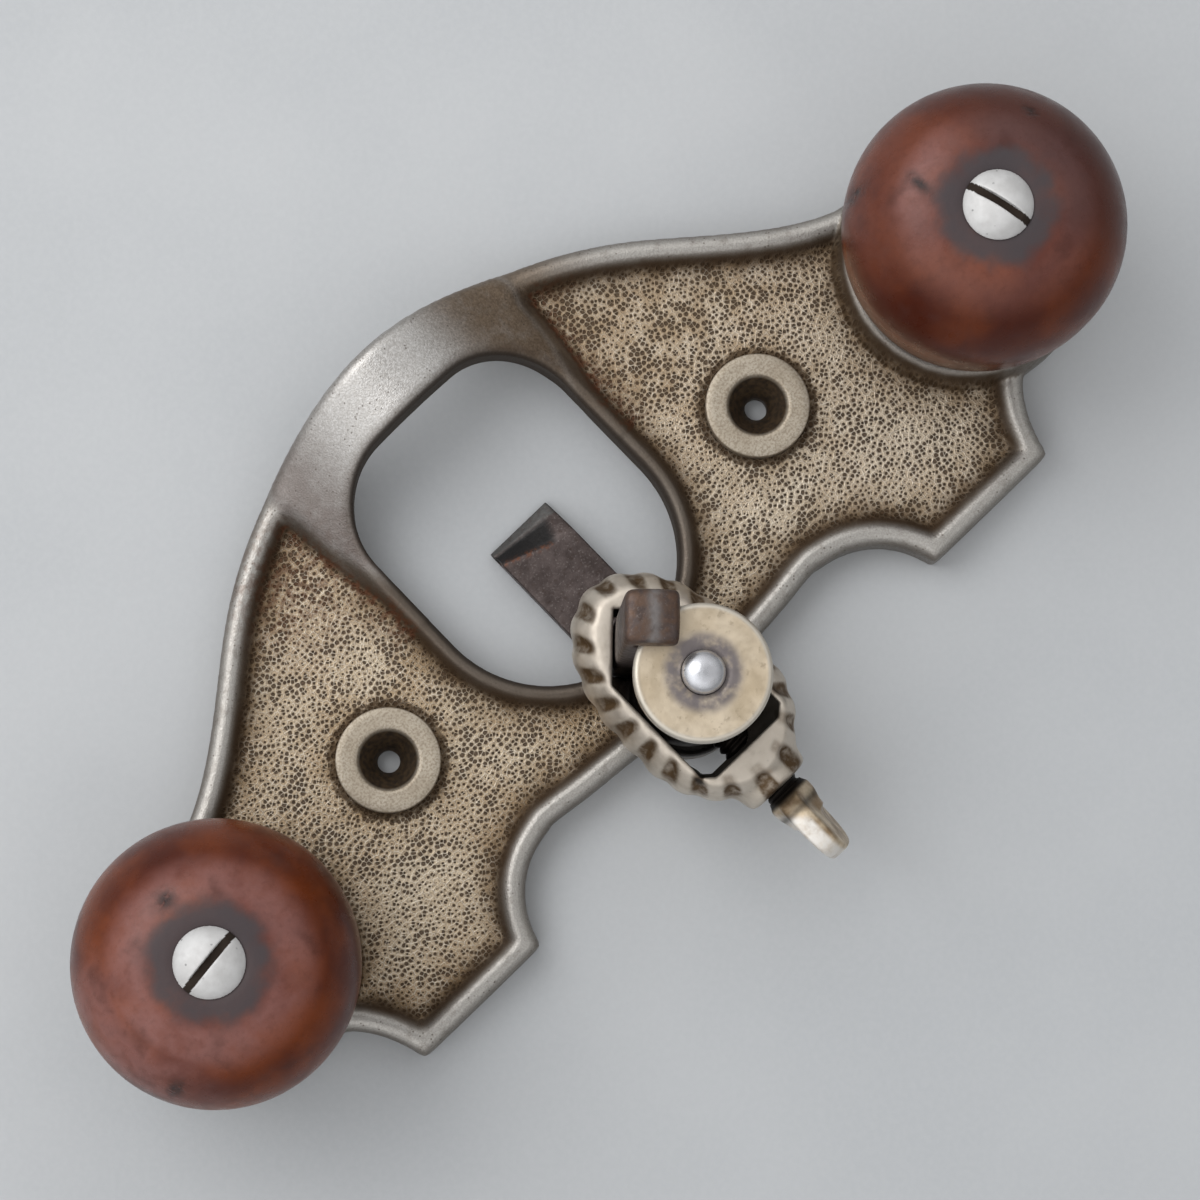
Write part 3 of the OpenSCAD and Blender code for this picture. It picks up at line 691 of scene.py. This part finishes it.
def mark_sole(sole, points):
    """Where the casting is stippled, worn bright, stained and dirty, and where highlights and shade are
    painted on it.
    """
    px, py, pz = points.T
    upper = (pz > 3.4) & (np.abs(pz - sole_top(px, py)) < 0.6)
    away = from_forms(px, py)
    arch = sole_heights(px, py)["arch"]
    throat = throat_distance(px, py)
    knob = np.hypot(np.abs(px) - KNOB_X, py)
    boss = np.hypot(np.abs(px) - BOSS[0], py - BOSS[1])
    legs = ease(6.2, 8.4, arch) * (py > ARCH_REAR)
    cove = np.exp(-np.clip(away - 0.3, 0, None) / 1.5) * ease(-1.9, -0.5, away)
    golden = np.exp(-np.clip(np.minimum(away, boss - BOSS_R), 0, None) / 5.0)
    golden = np.maximum(golden, 0.8 * ease(6.0, 20.0, py) * (px > 0))
    foot_of_arch = np.exp(-np.clip(PANEL_Z - arch, 0, None) / 4.0) * ease(-2.0, -0.4, away)
    apex = 0.8 * np.exp(-(((px + 31) / 8.0) ** 2) - ((py - 34) / 9.0) ** 2)
    edge = -sole_distance(px, py)
    # painted shade along the arch's outer edge and throat edge, standing in for their rounding
    painted_edge_shade = legs * np.maximum(0.5 * ease(1.7, 0.2, edge), 0.75 * ease(2.4, 0.4, throat))
    # rims' crests: worn bright, and partly a painted highlight
    rim = ease(0.0, 1.0, edge) * ease(4.0, 2.3, edge) * (away < -0.7) * (knob > SEAT_R + 2.2)
    near_arch = ease(ARCH_REAR - 4, ARCH_REAR + 4, py) * ease(ARCH_REACH + 12, ARCH_REACH - 4, np.abs(px))
    near_arch = near_arch * ease(6.0, 20.0, px)
    rim = rim * (1 - 0.75 * near_arch)
    # painted highlight along the top of each knob seat's bead
    seat = 0.5 * ease(SEAT_Z - 0.8, SEAT_Z - 0.2, pz) * (knob > SEAT_R - 0.4)
    leg = np.maximum(0.75 * ease(10.5, 7.4, pz) * ease(-14.0, 0.0, px), 0.95 * ease(5.5, 17.0, px))
    # painted shade under the knobs' overhang and inside the collar, where light hardly reaches
    under_knob = ease(SEAT_R - 0.4, SEAT_R - 1.2, knob)
    under_collar = ease(11.5, 9.5, np.hypot(px, py - POST_Y))
    on_top = {
        "panel": ease(-0.7, 0.3, away),
        "moat": ease(2.0, 0.6, boss - BOSS_R),
        "grime": cove,
        "golden": golden,
        "rust": np.maximum(foot_of_arch, apex),
        # bead: tarnish on the throat's bead, and painted shade along the arch's edges
        "bead": np.maximum(ease(4.0, 3.2, throat) * (1 - legs), painted_edge_shade),
        "crest": np.maximum(rim * (1 - legs), seat),
        # painted shade on the arch's left leg
        "painted_shade": legs * ease(-9.0, -20.0, px),
        "foot": np.maximum(legs * leg, 0.6 * near_arch),
        "gap": np.maximum(under_knob, under_collar),
    }
    for name, share in on_top.items():
        add_mask(sole, name, upper * share)
    add_mask(sole, "arch", legs * ease(5.5, 7.5, pz) * np.where(upper, 1.0, 0.3))
    # painted shade on the throat's inner walls, which are also dulled
    add_mask(sole, "wall", ease(0.9, 0.3, throat) * (pz > 0.3))


def build_screw_boss(name, side):
    """One of the machined bosses that take a wood screw, with its countersink and hole."""
    lip, stem_r, stem_top = BOSS_Z - 0.12, BOSS_R - 0.3, 3.2
    profile = [(HOLE_R, 0.0), (stem_r, 0.0), (stem_r, stem_top), (BOSS_R, stem_top + 0.2),
               (BOSS_R, BOSS_Z - 0.25), (BOSS_R - 0.06, BOSS_Z - 0.09), (BOSS_R - 0.22, BOSS_Z)]
    profile += [(r, BOSS_Z) for r in (BOSS_R - 1.2, 6.0, 5.2, SINK_R + 0.16)] + [(SINK_R, lip)]
    profile += [(SINK_R + (HOLE_R - SINK_R) * t, lip + (SINK_LOW - lip) * t) for t in (0.15, 0.4, 0.7, 1.0)]
    profile += [(HOLE_R, 1.2), (HOLE_R, 0.0)]
    points, faces = lathe(profile, 128)
    boss = make_object(name, points, faces, "frame", "base", boss_finish(name + "_metal"),
                       (side * BOSS[0], BOSS[1], 0))
    radius = np.hypot(points[:, 0], points[:, 1])
    below = ease(BOSS_Z, BOSS_Z - 0.6, points[:, 2])
    add_mask(boss, "cup", (radius < SINK_R + 0.05) * below)
    add_mask(boss, "wall", (radius > BOSS_R - 0.1) * below)


# Knobs and their screws


def build_knob(name, side, offset, lit, tones, marks):
    """A turned knob: foot, full belly, rounded crown. offset moves its grain; mark_knob() takes the rest."""
    bore = SCREW_R + 0.1
    flank = [(KNOB_FOOT_R + (KNOB_R - KNOB_FOOT_R) * math.sin(a),
              KNOB_FOOT_H + (KNOB_BELLY - KNOB_FOOT_H) * (1 - math.cos(a)))
             for a in np.linspace(0, math.pi / 2, 22)]
    crown = [(KNOB_FLAT_R + (KNOB_R - KNOB_FLAT_R) * math.cos(a),
              KNOB_BELLY + (KNOB_H - KNOB_BELLY) * math.sin(a))
             for a in np.linspace(0, math.pi / 2, 28)[1:]]
    foot = [(bore, 0.0), (KNOB_FOOT_R - 0.4, 0.0), (KNOB_FOOT_R, 0.5)]
    points, faces = lathe(foot + flank + crown + [(bore, KNOB_H), (bore, 0.0)], 112)
    knob = make_object(name, points, faces, "frame", name, wood_finish(name + "_wood", offset),
                       (side * KNOB_X, 0, SEAT_Z))
    mark_knob(knob, points, lit, tones, marks)


def mark_knob(knob, points, lit, tones, marks):
    """Where a knob is stained and dented, and where sheen and shade are painted on it. lit is the direction
    of its painted sheen, tones are how strong the painted sheen is on the crown all round and on that side,
    how strong it is on that side's shoulder and how dark the painted shade is on the side toward +X, and
    marks are dents: place from the axis, and size."""
    x, y, z = points.T
    radius = np.hypot(x, y)
    upper = z > KNOB_BELLY
    add_mask(knob, "stain", upper * ease(10.8, 6.4, radius))
    add_mask(knob, "belly", np.where(upper, ease(11.5, 17.0, radius), 1.0))
    out = np.maximum(radius, 1e-3)
    toward = (x * lit[0] + y * lit[1]) / out
    lit_side = ease(0.5, 1.0, toward)
    all_round, crown_lit, shoulder_lit, dark = tones
    on_crown = ease(7.0, 10.5, radius) * ease(16.0, 12.0, radius)
    on_shoulder = ease(12.0, 16.0, radius) * ease(20.6, 19.0, radius)
    # painted sheen on the crown and on the lit side's shoulder
    sheen = on_crown * (all_round + (crown_lit - all_round) * lit_side)
    add_mask(knob, "sheen", upper * np.maximum(sheen, shoulder_lit * on_shoulder * lit_side))
    # painted shade: the side toward +X and the underside darkened
    outer = ease(-0.1, 0.8, x / out)
    far_side = dark * np.maximum(outer, 0.45) * ease(5.0, 11.0, radius)
    underside = 0.75 * ease(KNOB_BELLY, KNOB_BELLY - 9.0, z)
    add_mask(knob, "painted_shade", np.where(upper, far_side, underside))
    spots = [np.exp(-(((x - cx) / a) ** 2 + ((y - cy) / b) ** 2)) * upper for cx, cy, a, b in marks]
    add_mask(knob, "mark", np.max(spots, axis=0))


def build_knob_screw(name, side, turn):
    """A round-headed screw with a driver slot."""
    step, reach = 0.13, 6
    low = SEAT_Z + KNOB_H
    cap = (HEAD_R**2 + HEAD_H**2) / (2 * HEAD_H)
    axes = x, y, z = grid((-reach, -reach, low - 0.6), (reach, reach, low + HEAD_H + 0.5), step)
    c, s = math.cos(math.radians(turn)), math.sin(math.radians(turn))
    dome = np.sqrt(x * x + y * y + (z - low - HEAD_H + cap) ** 2) - cap
    field = smooth_max(smooth_max(dome, low - z, 0.15), np.hypot(x, y) - HEAD_R, 0.15)
    slot = smooth_max(np.abs(y * c - x * s) - SLOT_HALF, low + HEAD_H - SLOT_DEPTH - z, 0.1)
    field = smooth_max(field, -slot, 0.12)
    stem = lathe([(0, SCREW_LOW), (SCREW_R - 0.4, SCREW_LOW), (SCREW_R, SCREW_LOW + 0.6),
                  (SCREW_R, low + 0.3), (0, low + 0.3)], 48)
    points, faces = joined(surface_nets(field, axes, step), stem)
    px, py, pz = points.T
    in_slot = (np.abs(py * c - px * s) < SLOT_HALF - 0.02) & (pz > low)
    rim = ease(HEAD_R - 0.2, HEAD_R, np.hypot(px, py)) * (pz > low - 0.2)
    material = metal_finish(name + "_steel", (0.68, 0.674, 0.666), (0.58, 0.572, 0.562), 2.5,
                            (0.6, 0.72), 0.5, layers=[("dirt", (0.028, 0.018, 0.012), False)])
    screw = make_object(name, points, faces, "frame", name, material, (side * KNOB_X, 0, 0))
    add_mask(screw, "dirt", np.maximum(in_slot * 1.0, 0.85 * rim))


# Cutter, post and depth adjuster


def hollow_rear(x):
    """How far behind the edge the hollow in the cutter's bevel ends."""
    return 2.7 + 0.4 * (x + 5.1)


def bevel_hollow(x, back):
    """Share of the slanted hollow in the cutter's bevel, at a distance back from the edge."""
    front, rear = 0.8 + 0.1 * (x + 5.7), hollow_rear(x)
    ends = ease(4.8, 3.0, x + 0.4 * (back - 2))
    return ease(-0.15, 0.35, back - front) * ease(0.1, -0.4, back - rear) * ends


def build_cutter():
    """Square shank on its corner, slotted for the nut, with a flat foot ground to an edge."""
    step = 0.3
    axes = x, y, z = grid((-6.6, -14.4, -0.2), (6.6, 18.2, SHANK_TOP + 0.6), step)
    u, v = (x + y - SHANK_Y) / math.sqrt(2), (y - SHANK_Y - x) / math.sqrt(2)
    square = smooth_max(np.abs(u) - SHANK_W / 2, np.abs(v) - SHANK_W / 2, 0.7)
    shank = smooth_max(square, z - SHANK_TOP + 0.02 * (u * u + v * v), 0.9)
    nose = SHANK_Y + SHANK_W / math.sqrt(2) - 0.6
    shank = smooth_max(np.maximum(shank, EDGE_LOW - z), y - nose, 0.3)
    back = FOOT_FRONT - y
    bevel = np.maximum(4.1 + 0.3 * x, 2.4)
    ground = (z - FOOT_TOP + (FOOT_TOP - EDGE_TOP) * (1 - back / bevel)) / 1.3
    foot = smooth_max(smooth_max(np.abs(x) - FOOT_HALF, z - FOOT_TOP, 0.25), ground, 0.12)
    foot = np.maximum(np.maximum(foot, -back), np.maximum(EDGE_LOW - z, FOOT_REAR - y))
    field = smooth_min(shank, foot + 0.25 * bevel_hollow(x, back) * (z > EDGE_TOP), 0.5)
    reach = np.hypot(x, y - POST_Y) - NUT_R - 0.3
    slot = np.maximum(reach, np.abs(z - NUT_TOP + NUT_T / 2) - NUT_T / 2 - 0.2)
    field = smooth_max(field, -slot, 0.25)
    points, quads = surface_nets(field, axes, step)
    cutter = make_object("cutter_blade", points, quads, "cutter", "cutter", cutter_finish())
    px, py, pz = points.T
    back, upper = FOOT_FRONT - py, pz > 0.9
    behind = (back - hollow_rear(px)) / 0.45
    add_mask(cutter, "rust", np.exp(-(behind**2)) * ease(2.6, 1.4, px) * upper)
    # painted shade in the bevel's hollow
    add_mask(cutter, "hollow", bevel_hollow(px, back) * upper)
    add_mask(cutter, "edge", ease(1.0, 0.4, back - 0.115 * (px + 5.7)) * upper)
    across = (px - py + SHANK_Y) / math.sqrt(2)
    add_mask(cutter, "crown", ease(SHANK_TOP - 12.0, SHANK_TOP - 1.0, pz))
    # worn streak on the shank's top, partly a painted highlight
    add_mask(cutter, "worn", np.exp(-(((across - 0.3) / 0.9) ** 2)) * (pz > SHANK_TOP - 1.0))


def build_adjuster():
    """The threaded stud with its polished end, and the nut that runs on it in the cutter's slot."""
    place, dome_h, tip_low, thread_low, thread_top = (0, POST_Y, 0), 1.9, 51.0, 18.0, 52.0
    dome = [(STUD_R * math.cos(a), STUD_TOP - dome_h + dome_h * math.sin(a))
            for a in np.linspace(0, math.pi / 2, 12)[:-1]]
    chamfer = [(0, tip_low), (STUD_R - 0.3, tip_low), (STUD_R - 0.02, tip_low + 0.4)]
    tip = lathe(chamfer + dome + [(0, STUD_TOP)], 64)
    points, faces = joined(thread_sleeve(STUD_R, 0.55, thread_low, thread_top), tip)
    steel = metal_finish("polished_stud", (0.62, 0.63, 0.66), (0.5, 0.5, 0.52), 3, (0.24, 0.34))
    make_object("adjusting_stud_steel", points, faces, "frame", "adjusting_stud", steel,
                place)
    low, bore, hub_low = NUT_TOP - NUT_T, STUD_R + 0.03, NUT_TOP - NUT_T - HUB_L
    profile = [(bore, hub_low), (HUB_R - 0.3, hub_low), (HUB_R, hub_low + 0.3), (HUB_R, low - 0.2),
               (HUB_R + 0.2, low), (8.9, low), (9.4, low + 0.15), (NUT_R, low + 0.5), (NUT_R, low + 1.0),
               (NUT_R, low + 2.2), (NUT_R, low + 2.7), (9.45, low + 3.05), (9.1, NUT_TOP)]
    turning_marks = np.linspace(8.8, 4.2, 18)
    profile += [(r, NUT_TOP - 0.03 * (k % 2)) for k, r in enumerate(turning_marks)]
    profile += [(bore + 0.12, NUT_TOP), (bore, NUT_TOP - 0.12), (bore, hub_low)]
    knurled_rows, teeth, tooth = (8, 9), 64, 0.13

    def knurl(row, angles):
        """Change of radius round a row of the nut."""
        return -tooth * (0.5 + 0.5 * np.cos(teeth * angles)) if row in knurled_rows else 0 * angles

    points, faces = lathe(profile, 256, knurl)
    nut = make_object("adjusting_nut_disc", points, faces, "nut", "adjusting_nut",
                      nut_finish(), place)
    radius = np.hypot(points[:, 0], points[:, 1])
    add_mask(nut, "stain", (points[:, 2] > low + 1) * ease(6.3, 4.6, radius))
    add_mask(nut, "edge", ease(8.7, 9.2, radius))


# Clamp collar and thumbscrew


def band_outline():
    """Plan of the collar's band: a long front arc, straight sides and a shorter rear arc."""
    front_y, front_depth, rear_y, rear_depth = 16, 18.8, 22, 14.0
    turns = np.linspace(0, math.pi, 60)
    front = [(BAND_HALF * math.cos(a), front_depth * math.sin(a) - front_y) for a in turns]
    rear = [(-BAND_HALF * math.cos(a), -rear_depth * math.sin(a) - rear_y) for a in turns]
    return front + rear


def flute(x, y):
    """0 on a ridge of the collar's band to 1 in the bottom of a flute."""
    middle = 19
    outline = band_outline()
    ring = np.array(outline + outline[:1])
    run = np.concatenate([[0], np.cumsum(np.hypot(*np.diff(ring, axis=0).T))])
    turn = np.unwrap(np.arctan2(ring[:, 1] + middle, ring[:, 0]))
    a = np.arctan2(y + middle, x)
    along = np.interp((a - turn[0]) % (2 * math.pi), turn - turn[0], run / run[-1])
    return (0.5 - 0.5 * np.cos(2 * math.pi * FLUTES * along)) ** 1.6


def opening_outline():
    """Plan of the collar's opening: a nose for the shank's corner, and chamfered rear corners."""
    half, chamfer, chamfer_y = OPENING_HALF, 1.6, -28.6
    right = [(half, OPENING_NOSE - half), (half, chamfer_y), (half - chamfer, OPENING_REAR)]
    return [(0.0, OPENING_NOSE)] + right + [(-x, y) for x, y in right[::-1]]


def build_collar():
    """A fluted band with rounded shoulders, open in the middle, and a bored boss at the rear."""
    step = 0.3
    axes = x, y, z = grid((-13.2, -38.6, COLLAR_LOW - 1), (13.2, 4.0, COLLAR_TOP + 1), step)
    band = polygon_distance(band_outline(), x, y)
    middle, half = (COLLAR_LOW + COLLAR_TOP) / 2, (COLLAR_TOP - COLLAR_LOW) / 2
    s = np.clip(np.abs(z - middle) / half, 0, 1.1)
    valley = flute(x, y)
    dimple = 0.55 * valley**2 * np.exp(-(((s - 0.74) / 0.2) ** 2))
    shoulder = (3.2 - 1.4 * ease(-25, -31, y)) * s**2.4
    outer = band + shoulder + 0.4 * valley * np.clip(1.1 - s**4, 0, 1) + dimple
    boss_r, boss_y, boss_half = 5.6, 33.8, 3.8
    from_screw = np.hypot(x, z - SCREW_Z)
    boss = smooth_max(from_screw - boss_r, np.abs(y + boss_y) - boss_half, 1.2)
    field = smooth_min(smooth_max(outer, np.abs(z - middle) - half, 0.5), boss, 0.9)
    corner = (0.8 + 2.2 * ease(0.0, 3.0, x)) * ease(-24.5, -28.0, y)
    draft = corner * ease(COLLAR_TOP - 1.0, COLLAR_TOP - 7.0, z)
    opening = polygon_distance(opening_outline(), x, y)
    field = smooth_max(field, -opening - draft, 0.35)
    bore_r, bore_front = 3.0, -22
    field = np.where(y < bore_front, np.maximum(field, bore_r - from_screw), field)
    points, quads = surface_nets(field, axes, step)
    # the last layer is painted shade blacking the opening's inner walls
    material = metal_finish("worn_collar", (0.6, 0.54, 0.46), (0.42, 0.365, 0.295), 2.5, (0.3, 0.48), 0.75, [
        ("worn", (0.585, 0.525, 0.45), True), ("dirt", (0.1, 0.06, 0.028), True),
        ("painted_well_shade", (0.02, 0.015, 0.012), False)])
    collar = make_object("clamp_collar_ring", points, quads, "collar", "clamp_collar",
                         material)
    mark_collar(collar, points)


def mark_collar(collar, points):
    """Where the collar is dirty in its flutes, blacked inside with painted shade and worn bright on top."""
    px, py, pz = points.T
    valley = flute(px, py)
    outside = ease(-3.6, -2.9, polygon_distance(band_outline(), px, py))
    blob = 1.2 * ease(0.12, 0.5, valley) * np.exp(-(((pz - COLLAR_TOP + 2.5) / 1.9) ** 2))
    add_mask(collar, "dirt", np.clip(outside * (blob + 0.3 * ease(0.4, 0.9, valley)), 0, 1))
    inner = ease(1.3, 0.7, polygon_distance(opening_outline(), px, py))
    # painted shade inside the opening, below its top edge
    add_mask(collar, "painted_well_shade", 0.9 * inner * ease(COLLAR_TOP - 0.4, COLLAR_TOP - 1.2, pz))
    crest = ease(COLLAR_TOP - 1.3, COLLAR_TOP - 0.5, pz)
    plate = ease(-29.5, -30.5, py) * ease(-35.5, -33.5, py) * (pz > SCREW_Z + 4)
    crest = np.maximum(crest, plate)
    add_mask(collar, "worn", np.maximum(crest, 0.6 * outside * ease(0.25, 0.0, valley) * (pz > SCREW_Z)))


def build_thumbscrew():
    """Threaded stem with a shoulder, and a spade leaf set nearly upright."""
    step, reach = 0.24, 8.4
    axes = x, y, z = grid((-reach, -51.4, SCREW_Z - reach), (reach, -37.4, SCREW_Z + reach), step)
    up = z - SCREW_Z
    c, s = math.cos(LEAF_TURN), math.sin(LEAF_TURN)
    u, v = x * c + up * s, -x * s + up * c
    squareness, half = 3.2, (LEAF_FAR - LEAF_NEAR) / 2
    w = (-y - (LEAF_NEAR + LEAF_FAR) / 2) / half
    oval = (np.abs(v) / (LEAF_W / 2)) ** squareness + np.abs(w) ** squareness
    oval = (oval ** (1 / squareness) - 1) * half
    leaf = smooth_max(oval, np.abs(u) - LEAF_T / 2 + 0.2 * np.clip(w, 0, 1), 0.5)
    neck_near, neck_far = 38.6, 43.4
    neck_r = 2.9 + 0.5 * ease(neck_near, 39.6, -y) - 0.7 * ease(40.4, neck_far, -y)
    neck = np.maximum(np.hypot(x, up) - neck_r, np.maximum(-y - neck_far, neck_near + y))
    head = surface_nets(smooth_min(leaf, neck, 1.0), axes, step)
    thread_tip, thread_end = 25.44, 39.0
    points, faces = thread_sleeve(THUMB_R, 0.5, thread_tip, thread_end)
    points = np.stack([points[:, 0], -points[:, 2], points[:, 1] + SCREW_Z], 1)
    points, faces = joined(head, (points, faces))
    # the dirt layer is painted shade blacking the thread, and darkens a line round the neck
    material = metal_finish("tarnished_thumbscrew", (0.68, 0.57, 0.42), (0.3, 0.21, 0.125), 3.0, (0.3, 0.5),
                            layers=[("worn", (0.8, 0.765, 0.715), True),
                                    ("dirt", (0.014, 0.011, 0.009), False)])
    screw = make_object("thumbscrew_leaf", points, faces, "thumbscrew", "thumbscrew",
                        material)
    px, py, pz = points.T
    across = px * c + (pz - SCREW_Z) * s
    # painted shade blacks the thread where it runs in the collar's shade; a dark line rings the neck
    add_mask(screw, "dirt", np.maximum(ease(-39.9, -39.0, py), 0.7 * np.exp(-(((py + 41.6) / 0.7) ** 2))))
    add_mask(screw, "worn", ease(1.2, 0.5, across) * ease(-42.0, -43.4, py + 0.8 * across))


def build_post():
    """The post is its CAD solid, in dark steel."""
    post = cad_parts["cutter_post"]
    post.data.materials.clear()
    steel = metal_finish("post_steel", (0.1, 0.085, 0.072), (0.045, 0.036, 0.03), 3, (0.4, 0.6))
    post.data.materials.append(steel)


# Floor, light and camera


def build_stage():
    """A plain pale floor, just under the sole, that fills every view, with painted shade darkening it
    towards -Y.
    """
    f = Finish("pale_floor")
    colour = f.mix(f.ramp(f.noise(60, 3)), (0.455, 0.47, 0.483), (0.495, 0.508, 0.518))
    colour = f.mix(f.ramp(f.noise(0.9, 3), 0.3, 0.75, 0, 0.2), colour, (0.56, 0.57, 0.578))
    # painted shade: the floor darkens towards -Y, standing in for the light falling off
    rear = f.ramp(f.along("Y"), -160.0, 90.0, 0.32, 0.0)
    colour = f.mix(rear, colour, (0.33, 0.345, 0.36))
    material = f.done(base_color=colour, roughness=0.6, normal=f.bump(f.noise(1.2, 3), 0.03))
    half, low = 8.0, -0.0002
    mesh = bpy.data.meshes.new("floor")
    corners = [(-half, -half, low), (half, -half, low), (half, half, low), (-half, half, low)]
    mesh.from_pydata(corners, [], [[0, 1, 2, 3]])
    mesh.materials.append(material)
    floor = add_object("floor", mesh)


def build_light():
    """A pale overcast sky, brightest part of the way up and to the front left, with a soft lamp in front."""
    front_left, mean_strength, lamp_place = (-0.36, 0.34, 0), 0.95, Vector((-0.2, 0.7, 0.95))
    world = bpy.data.worlds.new("studio")
    bpy.context.scene.world = world
    world.use_nodes = True
    nodes, links = world.node_tree.nodes, world.node_tree.links
    place = nodes.new("ShaderNodeTexCoord")
    split = nodes.new("ShaderNodeSeparateXYZ")
    sky = nodes.new("ShaderNodeValToRGB")
    links.new(place.outputs["Generated"], split.inputs[0])
    links.new(split.outputs["Z"], sky.inputs["Fac"])
    sky.color_ramp.interpolation = "EASE"
    # height in the sky, from the horizon to straight up, and brightness
    levels = ((0.0, 0.28), (0.45, 0.95), (0.8, 1.3), (0.93, 0.9), (1.0, 0.6))
    for k, (place_up, level) in enumerate(levels):
        stop = sky.color_ramp.elements[k] if k < 2 else sky.color_ramp.elements.new(place_up)
        stop.position = place_up
        stop.color = (level * 0.985, level * 0.99, level, 1)
    links.new(sky.outputs["Color"], nodes["Background"].inputs["Color"])
    lean = nodes.new("ShaderNodeVectorMath")
    lean.operation = "DOT_PRODUCT"
    links.new(place.outputs["Generated"], lean.inputs[0])
    lean.inputs[1].default_value = front_left
    strength = nodes.new("ShaderNodeMath")
    links.new(lean.outputs["Value"], strength.inputs[0])
    strength.inputs[1].default_value = mean_strength
    links.new(strength.outputs[0], nodes["Background"].inputs["Strength"])
    lamp = bpy.data.lights.new("soft_lamp", "AREA")
    lamp.shape, lamp.energy, lamp.size = "DISK", 4.0, 0.9
    obj = add_object("soft_lamp", lamp)
    obj.location = lamp_place
    obj.rotation_euler = (-lamp_place).to_track_quat("-Z", "Y").to_euler()


def build_camera():
    """The photograph's camera."""
    turn = Vector(CAMERA_TURN)
    to_camera = Matrix.Rotation(turn.length, 3, turn.normalized())
    camera = bpy.data.cameras.new("camera")
    camera.sensor_fit, camera.sensor_width = "HORIZONTAL", SENSOR_MM
    camera.lens = SENSOR_MM * FOCAL_PIXELS / PHOTO_PIXELS
    camera.clip_start = 0.01
    obj = add_object("camera", camera)
    obj.matrix_world = Matrix.Translation(Vector(CAMERA_AT) * MM) @ to_camera.transposed().to_4x4()
    bpy.context.scene.camera = obj
    bpy.context.scene.view_settings.view_transform = "Standard"


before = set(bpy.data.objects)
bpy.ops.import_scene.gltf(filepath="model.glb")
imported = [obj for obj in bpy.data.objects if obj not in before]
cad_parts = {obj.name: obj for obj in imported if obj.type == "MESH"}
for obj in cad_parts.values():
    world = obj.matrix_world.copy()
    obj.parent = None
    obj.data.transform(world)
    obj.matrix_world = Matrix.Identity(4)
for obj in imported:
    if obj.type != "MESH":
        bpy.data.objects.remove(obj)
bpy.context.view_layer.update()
build_camera()
build_stage()
build_light()
build_sole()
build_screw_boss("left_screw_boss", -1)
build_screw_boss("right_screw_boss", 1)
build_knob("left_knob", -1, offset=(3, 11, 5), lit=(-1.0, -0.02), tones=(0.8, 0.95, 0.85, 0.15),
           marks=LEFT_KNOB_MARKS)
build_knob("right_knob", 1, offset=(41, 27, 9), lit=(-0.52, 0.85), tones=(0.15, 0.85, 0.2, 0.85),
           marks=RIGHT_KNOB_MARKS)
build_knob_screw("left_knob_screw", -1, turn=7)
build_knob_screw("right_knob_screw", 1, turn=-76)
build_post()
build_cutter()
build_adjuster()
build_collar()
build_thumbscrew()
